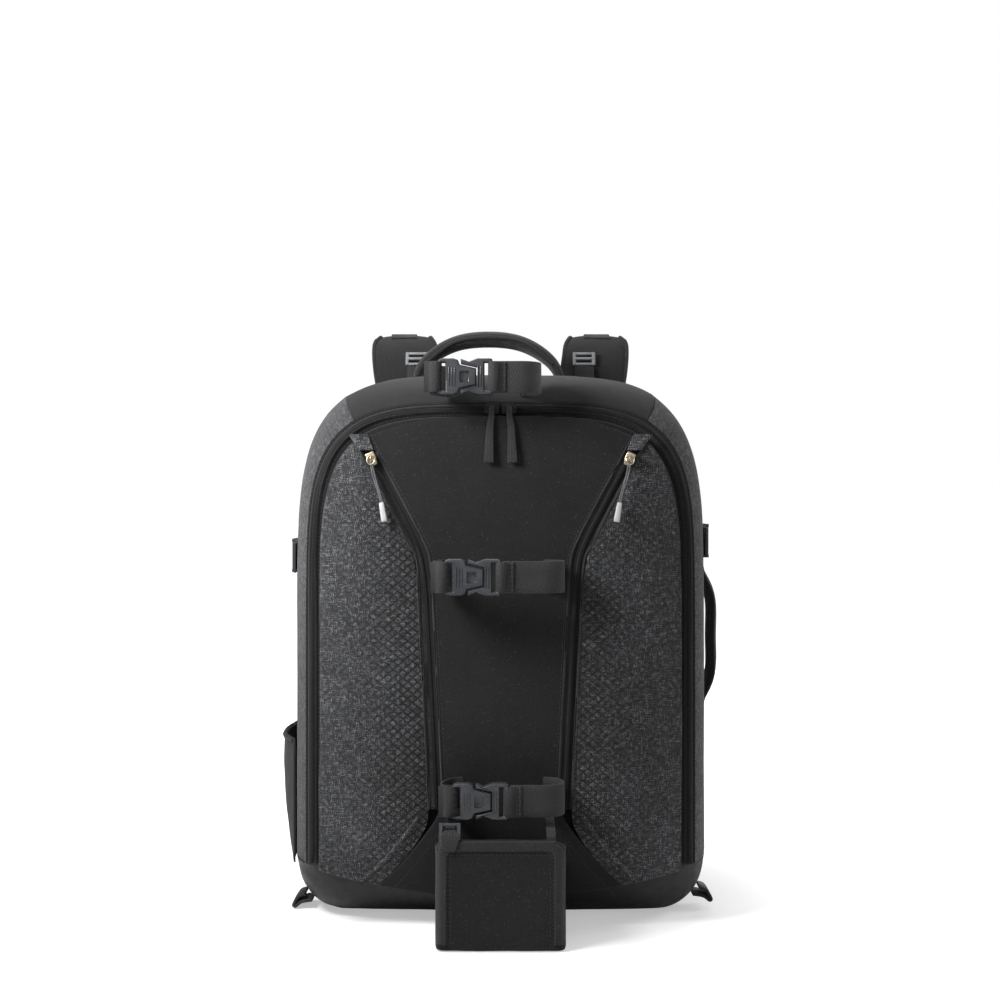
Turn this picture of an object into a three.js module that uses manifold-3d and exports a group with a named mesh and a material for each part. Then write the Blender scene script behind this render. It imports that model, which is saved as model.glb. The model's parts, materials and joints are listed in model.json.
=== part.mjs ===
// Camera backpack, standing upright on its base. Millimetres, +Z up, front towards -Y.
// The origin is the centre of the flat underside of the boot.
import * as THREE from 'three';
import { mergeVertices } from 'three/addons/utils/BufferGeometryUtils.js';
import Module from 'manifold-3d';

// Case
const caseHeight = 458;
const halfWidth = 175;
const caseBack = 90;
const caseDepth = 188.5;
const caseWall = 8;
const springHeight = 250; // above this the sides start to curve in to the top
const cornerPower = 4.2; // how square the top corners are
const sideRoll = 16; // how far the front edge rolls in at the sides
const topRoll = 31;
const bootLift = 24; // front edge of the boot at the middle
const bootRise = 26; // how much higher it is at the sides
const bootCorner = 36;
const bootPower = 1.9;
const seamAngle = THREE.MathUtils.degToRad(56); // where the black top band ends
const backWallDepth = 10;
const backWallEdge = 3;
const seamGap = 0.4; // between pieces sewn edge to edge
const seatGap = 0.35; // between a piece and what carries it

// Lid and front pocket
const zipWidth = 11.6;
const zipTape = 2.4;
const coilHeight = 1.6;
const lidThickness = 8;
const pocketWall = 2.6;
const pocketCrown = 15; // how far the filled pocket stands out in the middle
const panelPuff = 4.5;
const pocketZipWidth = 10.6;

// Sliders and pulls
const sliderDrop = 15.47; // middle of a pocket zip's slider below the zip's upper end
const sliderLength = 11;
const sliderWidth = 7.5;
const sliderDepth = 4.5;
const sliderNose = 0.6; // share of its width that is left at its lower end
const sliderTilt = 0.45; // it lies along the zip, which leans this much
const sliderLift = 1.1; // the pocket's slope holds its back off this much
const cordDiameter = 2.4;
const tipLength = 16;
const tipWidth = 5;
const tipThickness = 3.2;
const garageLength = 13;
const garageWidth = 15.5;
const garageWall = 1.4;
const garageLift = 1.2;
const mainSliderLength = 12;
const mainSliderWidth = 9;
const mainSliderDepth = 4;
const pullerWidth = 8;
const pullerWall = 2.2;
const pullerReach = 44;

// Middle line of the right pull cord, from its slider down to its tip. The left one mirrors it.
const cordRoute = [
  [103.6, -121.4, 378.4],
  [103.4, -121.9, 376.2],
  [103.1, -122.3, 374.0],
  [102.7, -122.7, 371.8],
  [102.2, -123.0, 369.6],
  [101.7, -123.3, 367.4],
  [101.1, -123.6, 365.2],
  [100.4, -123.9, 363.0],
  [99.7, -124.2, 360.8],
  [99.0, -124.5, 358.6],
  [98.3, -124.8, 356.4],
  [97.6, -125.1, 354.2],
  [96.9, -125.4, 352.0],
  [96.3, -125.7, 349.8],
  [95.8, -126.0, 347.6],
  [95.4, -126.3, 345.4],
];

// Straps and buckles
const webWidth = 25;
const webThickness = 1.8;
const sewnEnd = 8; // length of a tripod strap's end that lies on the bag
const loopBulge = 7; // how far a tripod strap's loop bulges out past its sewn ends
const buckleLength = 44;
const buckleWidth = 29;
const buckleHeight = 9;
const buckleEdge = 1.5;
const buckleBar = 3.5; // bar outside the webbing slot
const buckleSlot = 3;
const lockHeight = 6; // how far a ladder lock stands up from its webbing
const lockRim = 5; // how much wider it is
const lockLength = 26.6;

// left and right: where the ends turn in; buckle: its middle, all in x; height: the middle of the webbing;
// bow: how far the loop stands out.
const tripodStraps = [
  { name: 'top_strap', left: -48, right: 24, buckle: -28, height: caseHeight - 14, bow: 47 },
  { name: 'middle_strap', left: -44, right: 42, buckle: -22, height: springHeight + 37, bow: 34 },
  { name: 'lower_strap', left: -38, right: 42, buckle: -16, height: bootLift + bootRise + 63, bow: 34 },
];

// Tripod cup
const cupWidth = 101;
const cupHeight = 86;
const cupFront = 174;
const cupWall = 3;
const cupCorner = 14; // radius of the front wall's top corners
const cupRound = 8; // radius of its upright edges
const cupLift = 0.6;
const cupSlope = 23; // drop of the side walls over the same distance
const cupUnder = 32; // how far the cup's floor runs in under the bag
const cutMargin = 10;
const cupWebWidth = 7;
const cupWebWall = 1.3;
const cupWebPlace = 39;
const cupWebRise = 11; // the cup's webbing meets the bag this far above the cup

// Sides
const sidePocketLow = 40;
const sidePocketHigh = 146;
const sidePocketBack = 62;
const sidePocketFront = -58;
const sidePocketBulge = 13;
const sidePocketWall = 2;
const sideStrapBack = 66;
const sideStrapFront = -62;
const sideStrapHeights = { left: 298, right: 311 };
const handleLow = 160;
const handleHigh = handleLow + 134;
const handleReach = 16;
const handleWidth = 30;
const handleThickness = 9;
const handleY = 12;
const tabY = -44;
const tabLength = 10;
const tabWidth = 24;
const tabDrop = 9.5;
const tabHeights = { left: 12, right: 17 };

// Harness
const shoulderWidth = 62;
const shoulderThickness = 12;
const shoulderTop = 506;
const shoulderSpread = 92;
const shoulderReach = 76; // how far the straps stand out behind the back wall
const strapEnd = 5; // thickness of a padded strap's sewn end
const lowerWebWidth = 20;
const anchorSpread = 146; // where the lower webbing is sewn on
const anchorHeight = 60;
const lifterWidth = 18;
const lifterDepth = 6;
const padLow = 132;
const padHigh = 372;
const padWidth = 78;
const padCenter = 54;
const padRim = 3;
const padThickness = 14;
const lumbarWidth = 178;
const lumbarLow = 30;
const lumbarHigh = 126;
const lumbarThickness = 19;
const wingWidth = 88;
const wingThickness = 9;
const wingSpread = lumbarWidth / 2 + 30;
const wingReach = 36.5; // how far the folded belt stands out
const beltHeight = 80;
const grabWidth = 28;
const grabThickness = 11;
const grabCenter = -11;
const grabSpan = 134;
const grabTop = 496;
const grabY = 64;

const frontEdge = caseBack - caseDepth;
const frontHalf = halfWidth - sideRoll;
const frontTop = caseHeight - topRoll;
const bootHeight = bootLift + bootRise;
const zipBack = frontEdge - seatGap;
const lidBack = frontEdge - seamGap;
const lidFront = lidBack - lidThickness;
const lidHalf = frontHalf - zipWidth - seamGap;
const lidTop = frontTop - zipWidth - seamGap;
const pocketBack = lidFront - seatGap;
const backFace = caseBack + seamGap + backWallDepth;
const harnessFace = backFace + seatGap;

// Shoulder strap from its sewn end over the shoulder and down. spread, out and height: shares of the
// spread, the reach and the top.
const shoulderRows = [
  { spread: 0.717, out: 0.013, height: 0.767 },
  { spread: 0.804, out: 0.013, height: 0.83 },
  { spread: 0.935, out: 0.04, height: 0.893 },
  { spread: 1, out: 0.158, height: 0.96 },
  { spread: 1.022, out: 0.434, height: 1 },
  { spread: 1.022, out: 0.763, height: 0.972 },
  { spread: 0.978, out: 0.947, height: 0.87 },
  { spread: 0.913, out: 1, height: 0.731 },
  { spread: 1.022, out: 0.895, height: 0.593 },
  { spread: 1.217, out: 0.71, height: 0.474 },
  { spread: 1.348, out: 0.579, height: 0.403 },
];

// Belt wing from the lumbar pad to the buckle. spread: share of the way from the buckle out to its widest
// place; out: share of its reach.
const wingRows = [
  { spread: 0.73, out: 0.003 },
  { spread: 0.928, out: 0.15 },
  { spread: 1, out: 0.534 },
  { spread: 0.886, out: 0.863 },
  { spread: 0.492, out: 0.973 },
  { spread: 0, out: 1 },
];

// Sections of the case from back to front. along: share of the depth; side, top and base: shares of the
// roll that the outline has moved in by.
const caseSections = [
  { along: 0.0, side: 0.45, top: 0.4, base: 0.2 },
  { along: 0.06, side: 0.14, top: 0.14, base: 0.04 },
  { along: 0.2, side: 0.02, top: 0.02, base: 0 },
  { along: 0.45, side: 0, top: 0, base: 0 },
  { along: 0.72, side: 0.07, top: 0.12, base: 0 },
  { along: 0.87, side: 0.3, top: 0.4, base: 0.12 },
  { along: 0.95, side: 0.62, top: 0.68, base: 0.45 },
  { along: 1.0, side: 1, top: 1, base: 1 },
];

// Seam between the centre panel and a side panel, from the bottom up. x: share of the lid's half width;
// z: share of its height; outer: the same share on the lid's edge; zip: share of the zip's width.
const seamRows = [
  { x: 0.67, z: 0.018, outer: 0.058, zip: 0 },
  { x: 0.52, z: 0.082, outer: 0.1, zip: 0 },
  { x: 0.385, z: 0.152, outer: 0.15, zip: 0.12 },
  { x: 0.352, z: 0.19, outer: 0.2, zip: 1 },
  { x: 0.366, z: 0.32, outer: 0.33, zip: 1 },
  { x: 0.384, z: 0.453, outer: 0.46, zip: 1 },
  { x: 0.402, z: 0.59, outer: 0.59, zip: 1 },
  { x: 0.42, z: 0.698, outer: 0.7, zip: 1 },
  { x: 0.463, z: 0.742, outer: 0.77, zip: 1 },
  { x: 0.56, z: 0.812, outer: 0.84, zip: 1 },
  { x: 0.665, z: 0.884, outer: 0.905, zip: 1 },
  { x: 0.762, z: 0.95, outer: 0.94, zip: 1 },
];

const wasm = await Module();
wasm.setup();

const finishes = {
  blackFabric: { color: 0x26262a, roughness: 0.9, metalness: 0 },
  heather: { color: 0x4b4c50, roughness: 0.95, metalness: 0 },
  boot: { color: 0x2b2b2d, roughness: 0.55, metalness: 0 },
  mesh: { color: 0x1d1d1f, roughness: 0.95, metalness: 0 },
  webbing: { color: 0x2e2e31, roughness: 0.8, metalness: 0 },
  buckle: { color: 0x3a3d40, roughness: 0.35, metalness: 0 },
  grayBuckle: { color: 0x8d9092, roughness: 0.4, metalness: 0 },
  zip: { color: 0x18181a, roughness: 0.6, metalness: 0 },
  slider: { color: 0xa8a090, roughness: 0.3, metalness: 0.9 },
  cord: { color: 0x77797b, roughness: 0.8, metalness: 0 },
  tip: { color: 0xb9b8b4, roughness: 0.5, metalness: 0 },
};

const backpack = new THREE.Group();

function addPiece(name, geometry, finish) {
  const mesh = new THREE.Mesh(geometry, new THREE.MeshStandardMaterial(finishes[finish]));
  mesh.name = name;
  backpack.add(mesh);
  return mesh;
}

const sides = [['left', -1], ['right', 1]];
const sideways = new THREE.Vector3(1, 0, 0);
const forward = new THREE.Vector3(0, 1, 0);
const upright = new THREE.Vector3(0, 0, 1);
const mix = (a, b, share) => a + (b - a) * share;
const clamp = THREE.MathUtils.clamp;
const blunt = (u) => Math.min(1, 8 * u, 8 * (1 - u)); // full except for the ends
const swollen = (u) => Math.min(1, Math.sin(Math.PI * u) * 2.2);

// Value of one column of a table at a share of its length.
function along(table, column, share) {
  const place = clamp(share, 0, 1) * (table.length - 1);
  const row = Math.min(Math.floor(place), table.length - 2);
  return mix(table[row][column], table[row + 1][column], place - row);
}

function signedVolume(geometry) {
  const points = geometry.attributes.position;
  const corners = geometry.index.array;
  const [a, b, c] = [new THREE.Vector3(), new THREE.Vector3(), new THREE.Vector3()];
  let sum = 0;
  for (let i = 0; i < corners.length; i += 3) {
    a.fromBufferAttribute(points, corners[i]);
    b.fromBufferAttribute(points, corners[i + 1]);
    c.fromBufferAttribute(points, corners[i + 2]);
    sum += a.dot(b.cross(c));
  }
  return sum / 6;
}

// The same body with shared corners and its faces pointing out.
function closed(source) {
  const geometry = source.clone();
  geometry.deleteAttribute('normal');
  geometry.deleteAttribute('uv');
  const merged = mergeVertices(geometry, 1e-4);
  if (signedVolume(merged) < 0) {
    const corners = merged.index.array;
    for (let i = 0; i < corners.length; i += 3) {
      [corners[i + 1], corners[i + 2]] = [corners[i + 2], corners[i + 1]];
    }
  }
  merged.computeVertexNormals();
  return merged;
}

function toSolid(source) {
  const geometry = closed(source);
  const mesh = new wasm.Mesh({
    numProp: 3,
    vertProperties: new Float32Array(geometry.attributes.position.array),
    triVerts: new Uint32Array(geometry.index.array),
  });
  return new wasm.Manifold(mesh);
}

function fromSolid(solid) {
  const mesh = solid.getMesh();
  const geometry = new THREE.BufferGeometry();
  geometry.setAttribute('position', new THREE.BufferAttribute(new Float32Array(mesh.vertProperties), 3));
  geometry.setIndex(new THREE.BufferAttribute(new Uint32Array(mesh.triVerts), 1));
  return closed(geometry);
}

// A block of steps [along, across, through] bent into shape: place(u, v, w) gives each point, and u, v
// and w run from 0 to 1 along, across and through it.
function bentBlock([alongSteps, acrossSteps, throughSteps], place) {
  const geometry = new THREE.BoxGeometry(1, 1, 1, alongSteps, acrossSteps, throughSteps);
  const points = geometry.attributes.position;
  for (let i = 0; i < points.count; i += 1) {
    const p = place(points.getX(i) + 0.5, points.getY(i) + 0.5, points.getZ(i) + 0.5);
    points.setXYZ(i, p.x, p.y, p.z);
  }
  return closed(geometry);
}

// A strip along a curve. side: the direction of its width; width and thickness: functions of the share
// along it; soft rounds its long edges.
function strip({ curve, side, width, thickness, steps, across = 1, soft = 0 }) {
  return bentBlock([steps, across, 1], (u, v, w) => {
    const point = curve.getPointAt(u);
    const tangent = curve.getTangentAt(u);
    const up = new THREE.Vector3().crossVectors(tangent, side).normalize();
    const wide = new THREE.Vector3().crossVectors(up, tangent).normalize();
    const thin = 1 - soft * Math.abs(2 * v - 1) ** 4;
    point.addScaledVector(wide, (v - 0.5) * width(u));
    point.addScaledVector(up, (w - 0.5) * thickness(u) * thin);
    return point;
  });
}

function smoothCurve(points) {
  return new THREE.CatmullRomCurve3(points.map((point) => new THREE.Vector3(...point)), false, 'centripetal');
}

// Outline in a plane, the same above and below its middle line. along: share of half the length; inset:
// share of half the width in from the edge.
function mirrorShape(rows, halfLength, halfBreadth) {
  const lower = rows.map((row) => new THREE.Vector2(row.along * halfLength, (row.inset - 1) * halfBreadth));
  const upper = lower.map((point) => new THREE.Vector2(point.x, -point.y)).reverse();
  return new THREE.Shape([...lower, ...upper]);
}

// Outline of the case above the boot. turn runs from 1 at the boot through 0 at the top to -1.
const springTurn = 0.7;
const seamTurn = springTurn * (1 - seamAngle / (Math.PI / 2));
const turnGap = 0.0012; // the seam's gap as a turn

function outline(turn, half, top, foot = bootHeight) {
  const side = turn < 0 ? -1 : 1;
  const share = Math.abs(turn);
  if (share >= springTurn) {
    const down = (share - springTurn) / (1 - springTurn);
    return { x: side * half, z: mix(springHeight, foot, down) };
  }
  const angle = (1 - share / springTurn) * (Math.PI / 2);
  const power = 2 / cornerPower;
  const x = side * half * Math.max(Math.cos(angle), 0) ** power;
  return { x, z: springHeight + (top - springHeight) * Math.sin(angle) ** power };
}

function depthAt(share) {
  return caseBack - caseDepth * along(caseSections, 'along', share);
}

// A point of the upper case wall, inset from its outside.
function casePoint(turn, share, inset) {
  const half = halfWidth - sideRoll * along(caseSections, 'side', share) - inset;
  const top = caseHeight - topRoll * along(caseSections, 'top', share) - inset;
  const { x, z } = outline(turn, half, top);
  return new THREE.Vector3(x, depthAt(share), z);
}

function caseHalfAt(y) {
  const share = (caseBack - y) / caseDepth;
  let row = 0;
  while (row < caseSections.length - 2 && caseSections[row + 1].along < share) {
    row += 1;
  }
  const [low, high] = [caseSections[row], caseSections[row + 1]];
  const t = (share - low.along) / (high.along - low.along);
  return halfWidth - sideRoll * mix(low.side, high.side, t);
}

function bootLine(x) {
  return bootLift + bootRise * Math.min(Math.abs(x) / frontHalf, 1) ** bootPower;
}

// A point of the boot. turn runs from -1 at the left top edge under the base to 1 at the right.
const bootFlat = 0.2; // shares of turn on the flat base and up to the end of the corner
const bootCurve = 0.8;

function bootShare(t) {
  const flatLength = halfWidth - bootCorner;
  const cornerLength = (bootCorner * Math.PI) / 2;
  const sideLength = bootHeight - bootCorner;
  const onFlat = clamp(t / bootFlat, 0, 1);
  const onCorner = clamp((t - bootFlat) / (bootCurve - bootFlat), 0, 1);
  const onSide = clamp((t - bootCurve) / (1 - bootCurve), 0, 1);
  const run = onFlat * flatLength + onCorner * cornerLength + onSide * sideLength;
  return run / (flatLength + cornerLength + sideLength);
}

function bootPoint(turn, share, inset) {
  const side = turn < 0 ? -1 : 1;
  const t = Math.abs(turn);
  const half = halfWidth - inset;
  const corner = bootCorner - inset;
  let x = half;
  let z = mix(bootCorner, bootHeight - seamGap / 2, (t - bootCurve) / (1 - bootCurve));
  if (t < bootFlat) {
    x = (half - corner) * (t / bootFlat);
    z = inset;
  } else if (t < bootCurve) {
    const angle = ((t - bootFlat) / (bootCurve - bootFlat)) * (Math.PI / 2);
    x = half - corner + corner * Math.sin(angle);
    z = inset + corner * (1 - Math.cos(angle));
  }
  const across = bootShare(t);
  const frontX = across * (frontHalf - inset);
  const frontZ = bootLine(across * frontHalf) + inset * (1 - across ** 8) - (seamGap / 2) * across ** 8;
  const base = along(caseSections, 'base', share);
  const roll = along(caseSections, 'side', share);
  return new THREE.Vector3(side * mix(x, frontX, roll), depthAt(share), mix(z, frontZ, base));
}

const sectionSteps = caseSections.length - 1;

function caseWallPiece(turnFrom, turnTo, steps) {
  const size = [steps, sectionSteps, 1];
  return bentBlock(size, (u, v, w) => casePoint(mix(turnFrom, turnTo, u), v, caseWall * w));
}

function addCase() {
  const boot = bentBlock([20, sectionSteps, 1], (u, v, w) => bootPoint(2 * u - 1, v, caseWall * w));
  addPiece('boot', boot, 'boot');
  for (const [name, side] of sides) {
    addPiece(`gusset_${name}`, caseWallPiece(side, side * (seamTurn + turnGap), 11), 'heather');
  }
  addPiece('top_gusset', caseWallPiece(-seamTurn, seamTurn, 12), 'blackFabric');

  const backShape = new THREE.Shape();
  const steps = 20;
  for (let i = -steps; i <= steps; i += 1) {
    const point = casePoint(i / steps, 0, 0);
    backShape[i === -steps ? 'moveTo' : 'lineTo'](point.x, point.z);
  }
  const bottomSteps = 12;
  for (let i = bottomSteps - 1; i > -bottomSteps; i -= 1) {
    const point = bootPoint(i / bottomSteps, 0, 0);
    backShape.lineTo(point.x, point.z);
  }
  const wall = new THREE.ExtrudeGeometry(backShape, {
    depth: backWallDepth - 2 * backWallEdge,
    bevelThickness: backWallEdge,
    bevelSize: backWallEdge,
    bevelOffset: -backWallEdge,
    bevelSegments: 1,
  });
  wall.rotateX(Math.PI / 2);
  wall.translate(0, backFace - backWallEdge, 0);
  addPiece('back_wall', closed(wall), 'mesh');
}

// Lid and pocket
function addLid() {
  const lidShape = new THREE.Shape();
  const steps = 20;
  for (let i = -steps; i <= steps; i += 1) {
    const point = outline(i / steps, lidHalf, lidTop, bootLine(lidHalf) + seamGap);
    lidShape[i === -steps ? 'moveTo' : 'lineTo'](point.x, point.z);
  }
  const bottomSteps = 6;
  for (let i = bottomSteps - 1; i > -bottomSteps; i -= 1) {
    const x = (i / bottomSteps) * lidHalf;
    lidShape.lineTo(x, bootLine(x) + seamGap);
  }
  const lid = new THREE.ExtrudeGeometry(lidShape, { depth: lidThickness, bevelEnabled: false });
  lid.rotateX(Math.PI / 2);
  lid.translate(0, lidBack, 0);
  addPiece('lid_panel', closed(lid), 'blackFabric');

  // Tape 0 to 1 across, with the coil raised along its middle.
  const acrossShares = [0, 0.34, 0.4, 0.6, 0.66, 1];
  const raised = [0, 0, 1, 1, 0, 0];
  const last = acrossShares.length - 1;
  const zip = bentBlock([34, last, 1], (u, v, w) => {
    const column = Math.round(v * last);
    const inset = zipWidth * acrossShares[column];
    const foot = bootHeight + seamGap;
    const { x, z } = outline(2 * u - 1, frontHalf - inset, frontTop - inset, foot);
    return new THREE.Vector3(x, zipBack - w * (zipTape + raised[column] * coilHeight), z);
  });
  addPiece('main_zip', zip, 'zip');
}

const lidBase = bootLift + seamGap;
const lidHeight = lidTop - lidBase;

// How far the pocket stands out from its rim, 0 to 1.
function fill(x, z) {
  const middle = (lidTop + lidBase) / 2;
  const reach = Math.abs(x / lidHalf) ** 4 + Math.abs((2 * (z - middle)) / lidHeight) ** 4;
  return 1 - Math.min(reach, 1) ** 0.75;
}

function pocketFace(x, z) {
  return pocketBack - pocketWall - pocketCrown * fill(x, z);
}

function seamPoint(row) {
  return new THREE.Vector2(row.x * lidHalf, lidBase + row.z * lidHeight);
}

// The seam moved sideways: offset of 1 is the outer edge of the zip and -1 its inner edge.
function seamEdge(index, offset) {
  const low = seamPoint(seamRows[Math.max(index - 1, 0)]);
  const high = seamPoint(seamRows[Math.min(index + 1, seamRows.length - 1)]);
  const out = high.sub(low).normalize();
  const reach = seamGap / 2 + (pocketZipWidth / 2) * seamRows[index].zip;
  const point = seamPoint(seamRows[index]);
  return new THREE.Vector2(point.x + out.y * reach * offset, point.y - out.x * reach * offset);
}

function halfAtHeight(z) {
  const rise = clamp((z - springHeight) / (lidTop - springHeight), 0, 1);
  return lidHalf * (1 - rise ** cornerPower) ** (1 / cornerPower);
}

function outerEdge(row) {
  const z = lidBase + row.outer * lidHeight;
  return new THREE.Vector2(halfAtHeight(z) - seatGap, z);
}

const rowSteps = seamRows.length - 1;

function sidePanel(side) {
  return bentBlock([5, rowSteps, 1], (u, v, w) => {
    const index = Math.round(v * rowSteps);
    const inner = seamEdge(index, 1);
    const outer = outerEdge(seamRows[index]);
    const at = inner.lerp(outer, u);
    if (index === 0) {
      at.y = Math.max(at.y, bootLine(at.x) + seamGap);
    }
    const puff = panelPuff * Math.sin(Math.PI * u) * Math.sin(Math.PI * clamp(v, 0.02, 0.98)) ** 0.5;
    const y = pocketFace(at.x, at.y) + pocketWall * (1 - w) - puff;
    return new THREE.Vector3(side * at.x, y, at.y);
  });
}

function centerPanel() {
  return bentBlock([8, rowSteps, 1], (u, v, w) => {
    const index = Math.round(v * rowSteps);
    const edge = seamEdge(index, -1);
    const across = 2 * u - 1;
    const x = across * edge.x;
    let z = edge.y;
    if (index === 0) {
      z = bootLine(x) + seamGap;
    } else if (index === 1) {
      z = mix(edge.y, 2 * bootLift, 1 - across ** 2);
    } else if (index === rowSteps) {
      z = mix(lidTop - seatGap, edge.y, Math.abs(across) ** cornerPower);
    } else if (index === rowSteps - 1) {
      z = edge.y + 5 * (1 - across ** 2);
    }
    return new THREE.Vector3(x, pocketFace(x, z) + pocketWall * (1 - w), z);
  });
}

const zipRows = seamRows.map((row, index) => index).filter((index) => seamRows[index].zip === 1);
const sliderHeight = seamPoint(seamRows[rowSteps]).y - sliderDrop;

function pocketZip(side) {
  const offsets = [-1, -0.3, -0.22, 0.22, 0.3, 1];
  const raised = [0, 0, 1, 1, 0, 0];
  const steps = zipRows.length - 1;
  const edgeGap = seamGap / pocketZipWidth;
  const recess = 2 * seamGap;
  return bentBlock([5, steps, 1], (u, v, w) => {
    const column = Math.round(u * 5);
    const index = zipRows[Math.round(v * steps)];
    const at = seamEdge(index, offsets[column] * (1 - 2 * edgeGap));
    const front = pocketFace(at.x, at.y) + recess - raised[column] * coilHeight * 0.7;
    const back = pocketFace(at.x, at.y) + pocketWall;
    return new THREE.Vector3(side * at.x, mix(back, front, w), at.y);
  });
}

// Point on the face of a pocket zip, at a height.
function zipPoint(z) {
  let index = zipRows[0];
  while (index < seamRows.length - 2 && seamPoint(seamRows[index + 1]).y < z) {
    index += 1;
  }
  const [low, high] = [seamPoint(seamRows[index]), seamPoint(seamRows[index + 1])];
  const x = mix(low.x, high.x, (z - low.y) / (high.y - low.y));
  return new THREE.Vector3(x, pocketFace(x, z) - coilHeight * 0.4, z);
}

function addPocketSlider(name, side) {
  const seat = zipPoint(sliderHeight);
  const slider = new THREE.BoxGeometry(sliderWidth, sliderDepth, sliderLength, 1, 1, 2);
  const points = slider.attributes.position;
  for (let i = 0; i < points.count; i += 1) {
    const taper = points.getZ(i) < 0 ? sliderNose : 1;
    points.setX(i, points.getX(i) * taper);
  }
  slider.rotateY(side * sliderTilt);
  slider.translate(side * seat.x, seat.y - sliderDepth / 2 - seatGap - sliderLift, seat.z);
  addPiece(`pocket_slider_${name}`, closed(slider), 'slider');
}

function addPull(name, side) {
  const route = cordRoute.map(([x, y, z]) => new THREE.Vector3(side * x, y, z));
  const round = new THREE.Shape().absarc(0, 0, cordDiameter / 2, 0, Math.PI * 2);
  const path = new THREE.CatmullRomCurve3(route);
  const cord = new THREE.ExtrudeGeometry(round, { steps: 6, extrudePath: path, curveSegments: 4 });
  addPiece(`pull_cord_${name}`, closed(cord), 'cord');

  const fall = path.getTangentAt(1);
  const end = path.getPointAt(1);
  const tip = strip({
    curve: new THREE.LineCurve3(
      end.clone().addScaledVector(fall, seatGap),
      end.clone().addScaledVector(fall, seatGap + tipLength),
    ),
    side: sideways,
    width: (u) => mix(tipWidth * 0.8, tipWidth, u),
    thickness: () => tipThickness,
    steps: 2,
    across: 2,
    soft: 0.4,
  });
  addPiece(`pull_tip_${name}`, tip, 'tip');
}

// Flap over the upper end of a pocket zip.
function addGarage(name, side) {
  const low = sliderHeight + sliderLength / 2 + 4 * seamGap;
  const flap = bentBlock([3, 3, 1], (u, v, w) => {
    const z = mix(low, low + garageLength, v);
    const x = zipPoint(z).x + garageWidth * (u - 0.45) * mix(0.75, 1, v);
    const lift = garageLift * (1 + Math.sin(Math.PI * u) + u);
    return new THREE.Vector3(side * x, pocketFace(x, z) - lift - garageWall * w, z);
  });
  addPiece(`garage_${name}`, flap, 'heather');
}

function addPocket() {
  addPiece('pocket_panel_center', centerPanel(), 'blackFabric');
  for (const [name, side] of sides) {
    addPiece(`pocket_panel_${name}`, sidePanel(side), 'heather');
    addPiece(`pocket_zip_${name}`, pocketZip(side), 'zip');
    addPocketSlider(name, side);
    addPull(name, side);
    addGarage(name, side);
  }
}

// Sliders of the main zip, which meet at its top. Each has a puller of sewn webbing.
function addMainSliders() {
  const half = mainSliderLength / 2;
  const rim = mainSliderWidth / 2;
  const sliderShape = mirrorShape([
    { along: -1, inset: 0.1 },
    { along: 0.5, inset: 0 },
    { along: 1, inset: 0.45 },
  ], half, rim);
  const middle = frontTop - zipWidth / 2;
  const face = zipBack - zipTape - coilHeight - seatGap;
  for (const [name, side] of sides) {
    const body = new THREE.ExtrudeGeometry(sliderShape, { depth: mainSliderDepth, bevelEnabled: false });
    body.rotateX(Math.PI / 2);
    body.scale(side, 1, 1);
    const x = side * (half + 1);
    body.translate(x, face, middle);
    const pull = strip({
      curve: smoothCurve([
        [x, face - mainSliderDepth * 0.9, middle + rim / 2],
        [x, face - mainSliderDepth - pullerWall * 1.6, middle - rim],
        [x + side * 1.5, face - mainSliderDepth * 3, middle - pullerReach * 0.35],
        [x + side * 2.5, face - mainSliderDepth * 4.6, middle - pullerReach],
      ]),
      side: sideways,
      width: (u) => mix(pullerWidth / 2, pullerWidth, u),
      thickness: () => pullerWall,
      steps: 6,
    });
    addPiece(`main_slider_${name}`, fromSolid(toSolid(body).add(toSolid(pull))), 'slider');
  }
}

// Halves of a side-release buckle, as seen from its face. along: share of half its length from the middle;
// inset: share of half its width in from its edge.
const socketRows = [
  { along: -1, inset: 0.28 },
  { along: -0.95, inset: 0.07 },
  { along: -0.82, inset: 0 },
  { along: -0.41, inset: 0 },
  { along: -0.25, inset: 0.09 },
  { along: -0.18, inset: 0.35 },
  { along: 0.41, inset: 0.55 },
];
const plugRows = [
  { along: 0.45, inset: 0.5 },
  { along: -0.15, inset: 0.3 },
  { along: -0.15, inset: 0.02 },
  { along: 0.14, inset: 0.18 },
  { along: 0.45, inset: 0 },
  { along: 0.91, inset: 0 },
  { along: 0.98, inset: 0.04 },
  { along: 1, inset: 0.14 },
];

// One half of a buckle that lies in the XZ plane, its face towards -Y. end: the side its webbing slot is on.
function buckleHalf(rows, end) {
  const shape = mirrorShape(rows, buckleLength / 2, buckleWidth / 2);
  const rim = buckleWidth / 2 - buckleBar;
  const outer = end * (buckleLength / 2 - buckleBar);
  const inner = outer - end * buckleSlot;
  const slot = new THREE.Path();
  slot.moveTo(outer, -rim);
  slot.lineTo(inner, -rim);
  slot.lineTo(inner, rim);
  slot.lineTo(outer, rim);
  shape.holes.push(slot);
  const half = new THREE.ExtrudeGeometry(shape, {
    depth: buckleHeight - 2 * buckleEdge,
    bevelThickness: buckleEdge,
    bevelSize: 1,
    bevelOffset: -1,
    bevelSegments: 1,
  });
  half.rotateX(Math.PI / 2);
  half.translate(0, buckleHeight / 2 - buckleEdge, 0);
  return half;
}

// How far forward a strap's sewn ends lie on the front of the bag.
function frontSeat(height) {
  const off = webThickness / 2 + seamGap;
  const low = height - webWidth / 2;
  if (height < frontTop) {
    return Math.min(pocketFace(0, low), pocketFace(0, height + webWidth / 2)) - off;
  }
  const topAt = (row) => caseHeight - topRoll * caseSections[row].top;
  let row = sectionSteps;
  while (topAt(row - 1) < low) {
    row -= 1;
  }
  const share = (low - topAt(row)) / (topAt(row - 1) - topAt(row));
  return mix(depthAt(row / sectionSteps), depthAt((row - 1) / sectionSteps), share) - off;
}

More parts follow.
